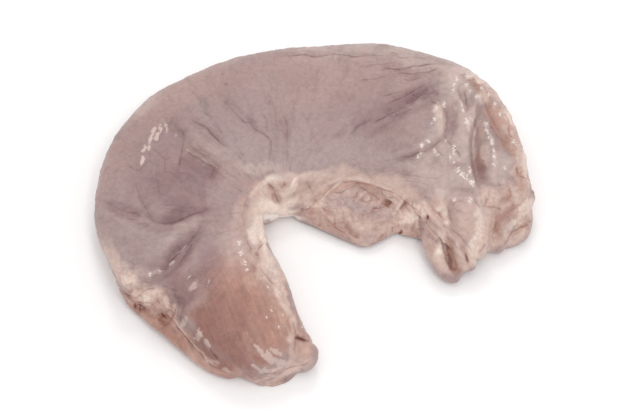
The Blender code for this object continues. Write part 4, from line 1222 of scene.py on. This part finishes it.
def paint(body):
    """The colour of every vertex, with painted shade in hollows, a painted highlight on ridges and painted
    light on the sides, how wet it is and how much it shows muscle.
    """
    points = points_of(body)
    normals = normals_of(body)
    spots = to_photo(points)
    seen = facing(points, normals)
    relief = kept_values(body, "relief")
    colour = np.tile(linear("skin"), (len(points), 1))
    wide = two_noises(points, WIDE_NOISE, 0, 90)
    fine = two_noises(points, FINE_NOISE, 30, 140)
    for tone, size, shift, low, high in BASE_PATCHES:
        patches = smooth_share(noise_at(points + shift, size), low, high)
        colour = mixed(colour, tone, PATCH_SHARE * patches)
    muscle = np.zeros(len(points))
    for tone, strength, place in fields():
        stray = min(FIELD_WARP, place[2], place[3]) * wide + FINE_WARP * fine
        share = strength * smooth_share(-oval_reach(spots + stray, *place), *FIELD_EDGE)
        colour = mixed(colour, tone, share * with_hidden(seen, HIDDEN_TINT))
        if tone in ("muscle", "meat", "wall"):
            share = strength * smooth_share(-oval_reach(spots, *place), *MUSCLE_EDGE)
            muscle = np.maximum(muscle, share)
    fat = fattiness(points)
    # Painted shade in the hollows, brown in fat and the tone of lines in skin, and a painted highlight of
    # cream on the ridges
    hollow = np.clip(-relief / CREASE_SHADE_DEPTH, 0, 1) * seen
    colour = mixed(colour, "brown", FAT_HOLLOW_SHADE * hollow * fat)
    colour = mixed(colour, "line", SKIN_HOLLOW_SHADE * hollow * (1 - fat))
    colour = mixed(colour, "cream", RIDGE_HIGHLIGHT * np.clip(relief / RIDGE_FULL, 0, 1) * seen)
    colour *= 1 + FINE_MOTTLE * fine[:, :1] + WIDE_MOTTLE * wide[:, :1]
    # Painted light: lighter colour where the skin turns away from above
    colour *= 1 + PAINTED_SIDE_LIGHT * (1 - np.clip(normals[:, 2:], 0, 1)) ** PAINTED_SIDE_POWER
    colour = np.column_stack([np.clip(colour, 0, LIGHTEST), np.ones(len(points))])
    tint = body.data.color_attributes.new("tint", "FLOAT_COLOR", "POINT")
    tint.data.foreach_set("color", colour.astype(np.float32).ravel())
    keep_values(body, "muscle", muscle)
    keep_values(body, "plain", seen * (1 - fat))
    keep_values(body, "fat", fat * with_hidden(seen, HIDDEN_FAT))
    for name, marks in (("pale", PALE_MARKS), ("pit", PITS)):
        depth, strength = deepest(spots + PATCH_WARP * fine, marks)
        keep_values(body, name + "_depth", depth)
        keep_values(body, name, strength * seen)
    fan = body.data.attributes.new("fan", "FLOAT_VECTOR", "POINT")
    fan.data.foreach_set("vector", fan_places(spots).astype(np.float32).ravel())
    wet = np.zeros(len(points))
    for x, y, reach in GLINTS:
        wet = np.maximum(wet, np.exp(-(np.hypot(spots[:, 0] - x, spots[:, 1] - y) / reach) ** 2))
    keep_values(body, "wet", wet * seen)


def shade(body):
    """Smooth above the table and flat beneath, so that the underside's edge stays clear."""
    body.data.shade_smooth()
    for face in body.data.polygons:
        face.use_smooth = face.normal.z > -0.99


def centre(body):
    """Puts the origin under the middle of the stomach, and returns how far it moved."""
    points = points_of(body)
    middle = (points[:, :2].min(axis=0) + points[:, :2].max(axis=0)) / 2
    points[:, :2] -= middle
    put_points(body, points)
    return np.array([middle[0], middle[1], 0.0])


class Nodes:
    """Short ways to make and join a material's nodes."""

    def __init__(self, name):
        self.material = bpy.data.materials.new(name)
        self.material.use_nodes = True
        self.tree = self.material.node_tree
        self.shader = self.tree.nodes["Principled BSDF"]

    def add(self, kind, **settings):
        made = self.tree.nodes.new("ShaderNode" + kind)
        for name, value in settings.items():
            setattr(made, name, value)
        return made

    def join(self, source, target):
        self.tree.links.new(source, target)

    def value(self, name):
        """One of the skin's stored numbers."""
        return self.add("Attribute", attribute_name=name).outputs["Fac"]

    def math(self, how, *given):
        made = self.add("Math", operation=how)
        for socket, value in zip(made.inputs, given):
            if isinstance(value, (int, float)):
                socket.default_value = value
            else:
                self.join(value, socket)
        return made.outputs[0]

    def mix(self, share, first, second, how="MIX"):
        """Two colours mixed. Either may be a fixed colour."""
        made = self.add("MixRGB", blend_type=how)
        self.join(share, made.inputs["Fac"])
        for name, given in (("Color1", first), ("Color2", second)):
            if isinstance(given, (tuple, list)):
                made.inputs[name].default_value = (*given, 1)
            else:
                self.join(given, made.inputs[name])
        return made.outputs["Color"]

    def settle(self, node, settings):
        for name, value in settings.items():
            node.inputs[name].default_value = value

    def grain(self, scale, detail, place, roughness=0.5):
        made = self.add("TexNoise")
        self.settle(made, {"Scale": scale, "Detail": detail, "Roughness": roughness})
        self.join(place, made.inputs["Vector"])
        return made.outputs["Fac"]

    def pattern(self, name, place):
        scale, detail, *ranges = PATTERNS[name]
        return self.spread(self.grain(scale, detail, place), *ranges)

    def threads(self, name, place):
        scale, *ranges = THREADS[name]
        off = self.math("SUBTRACT", self.grain(scale, 4, place), 0.5)
        return self.spread(self.math("ABSOLUTE", off), *ranges)

    def spread(self, source, low, high, new_low, new_high):
        """A number that goes from new_low to new_high while the source goes from low to high."""
        made = self.add("MapRange")
        self.join(source, made.inputs["Value"])
        self.settle(made, {"From Min": low, "From Max": high, "To Min": new_low, "To Max": new_high})
        return made.outputs["Result"]

    def bump(self, height, strength, distance):
        made = self.add("Bump")
        self.settle(made, {"Strength": strength, "Distance": distance})
        self.join(height, made.inputs["Height"])
        return made.outputs[0]

    def times(self, colour, value):
        """A colour scaled by a number."""
        made = self.add("VectorMath", operation="SCALE")
        self.join(colour, made.inputs[0])
        self.join(value, made.inputs["Scale"])
        return made.outputs[0]


def mark_share(n, name, edge_noise):
    """From 0 to 1, how much of a clear-edged mark shows, with an edge that the noise makes ragged."""
    depth = n.math("MULTIPLY_ADD", edge_noise, RAGGED, n.value(name + "_depth"))
    return n.math("MULTIPLY", n.spread(depth, *MARK_EDGE, 0, 1), n.value(name))


def tissue():
    """Skin with its stored tint, and over it mottling, faint lines, painted crease shade, marks, painted
    shade in holes, painted glints and wet spots.
    """
    n = Nodes("tissue")
    place = n.add("TexCoord").outputs["Object"]
    tint = n.add("Attribute", attribute_name="tint").outputs["Color"]
    along = n.add("Mapping")
    n.settle(along, {"Rotation": (0, 0, STREAK_TURN)})
    n.join(place, along.inputs["Vector"])
    thin = n.add("VectorMath", operation="MULTIPLY")
    n.join(along.outputs[0], thin.inputs[0])
    thin.inputs[1].default_value = STREAK_STRETCH
    streaks = n.grain(1, 3, thin.outputs[0], 0.6)
    fan = n.grain(1, 3, n.add("Attribute", attribute_name="fan").outputs["Vector"], 0.6)
    muscle = n.value("muscle")
    fat = n.value("fat")
    wet = n.value("wet")

    # How light the skin is
    light = n.math("ADD", n.pattern("mottling", place), n.pattern("specks", place))
    light = n.math("MULTIPLY_ADD", n.spread(streaks, *STREAK_LIGHT), muscle, light)
    faint = n.math("ADD", n.spread(fan, *FAN_LIGHT), n.threads("veins", place))
    light = n.math("SUBTRACT", light, n.math("MULTIPLY", faint, n.value("plain")))
    grains = n.math("MULTIPLY", n.pattern("fat grains", place), fat)
    light = n.math("MULTIPLY_ADD", grains, GRAIN_LIGHT, light)

    # Painted crease shade and the fat's marbling, pale marks, of which some are painted highlights,
    # painted shade in holes and slits, and painted glints, each over the ones before
    side = n.math("ABSOLUTE", n.value("crease_side"))
    crease = n.math("MULTIPLY", n.spread(side, *CREASE_SHADE_PROFILE), n.value("crease"))
    line = n.math("MAXIMUM", crease, n.math("MULTIPLY", n.threads("marbling", place), fat))
    colour = n.mix(line, n.times(tint, light), n.mix(fat, SKIN_CREASE_SHADE, FAT_MARBLING_AND_CREASE_SHADE), "MULTIPLY")
    edge_noise = n.math("SUBTRACT", n.grain(EDGES, 4, place, 0.6), 0.5)
    pale = mark_share(n, "pale", edge_noise)
    colour = n.mix(pale, colour, linear("mark").tolist())
    # Painted shade in holes and slits
    colour = n.mix(mark_share(n, "pit", edge_noise), colour, linear("painted_shade").tolist())
    # Painted glints: near-white colour painted where the skin is wet
    painted_glint = n.math("MULTIPLY_ADD", wet, GLINT_WET, n.grain(GLINTING, 2, place))
    colour = n.mix(n.spread(painted_glint, *GLINT), colour, linear("painted_glint").tolist())

    # The relief that is finer than the triangles
    height = n.math("MULTIPLY_ADD", streaks, muscle, n.grain(GRIT, 3, place))
    for share, rise in ((line, LINE_RISE), (pale, MARK_RISE), (grains, GRAIN_RISE)):
        height = n.math("MULTIPLY_ADD", share, rise, height)

    n.settle(n.shader, TISSUE_SETTINGS)
    n.join(colour, n.shader.inputs["Base Color"])
    n.join(n.pattern("dull spots", place), n.shader.inputs["Roughness"])
    n.join(n.spread(wet, *COAT), n.shader.inputs["Coat Weight"])
    n.join(n.bump(height, *SKIN_BUMP), n.shader.inputs["Normal"])
    n.join(n.bump(n.grain(WET_GRIT, 3, place), *COAT_BUMP), n.shader.inputs["Coat Normal"])
    return n.material


def floor_material():
    n = Nodes("floor")
    n.settle(n.shader, FLOOR_SETTINGS)
    return n.material


def aim_at(item, place, target):
    item.location = place
    item.rotation_mode = "QUATERNION"
    item.rotation_quaternion = (Vector(target) - Vector(place)).to_track_quat("-Z", "Y")


def add_light(name, place, width, power, colour):
    data = bpy.data.lights.new(name, "AREA")
    data.shape = "DISK"
    data.size = width
    data.energy = power
    data.color = colour
    aim_at(linked(name, data), place, (0, 0, 0.02))


def add_floor():
    mesh = bmesh.new()
    half = FLOOR_SIDE / 2
    corners = ((-half, -half), (half, -half), (half, half), (-half, half))
    mesh.faces.new([mesh.verts.new((x, y, -FLOOR_GAP)) for x, y in corners])
    floor = object_from(mesh, "floor")
    floor.data.materials.append(floor_material())
    return floor


def add_camera(moved):
    data = bpy.data.cameras.new("camera")
    data.lens = LENS
    data.sensor_width = SENSOR
    camera = linked("camera", data)
    aim_at(camera, (EYE - moved) * MM, (AIM - moved) * MM)
    bpy.context.scene.camera = camera


def add_world():
    world = bpy.data.worlds.new("studio")
    bpy.context.scene.world = world
    world.use_nodes = True
    background = world.node_tree.nodes["Background"]
    background.inputs["Color"].default_value = (1, 1, 1, 1)
    background.inputs["Strength"].default_value = WORLD_LIGHT


def build():
    clear_scene()
    skin = fused_body()
    fold_skin(skin)
    wrinkle_skin(skin)
    rest_on_table(skin)
    thin_out(skin)
    rest_on_table(skin)
    paint(skin)
    moved = centre(skin)
    shade(skin)
    skin.data.materials.append(tissue())
    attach(skin, "root")
    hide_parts("stomach")
    floor = add_floor()
    for light in LIGHTS:
        add_light(*light)
    add_world()
    add_camera(moved)
    bpy.context.scene.view_settings.view_transform = "Standard"


build()
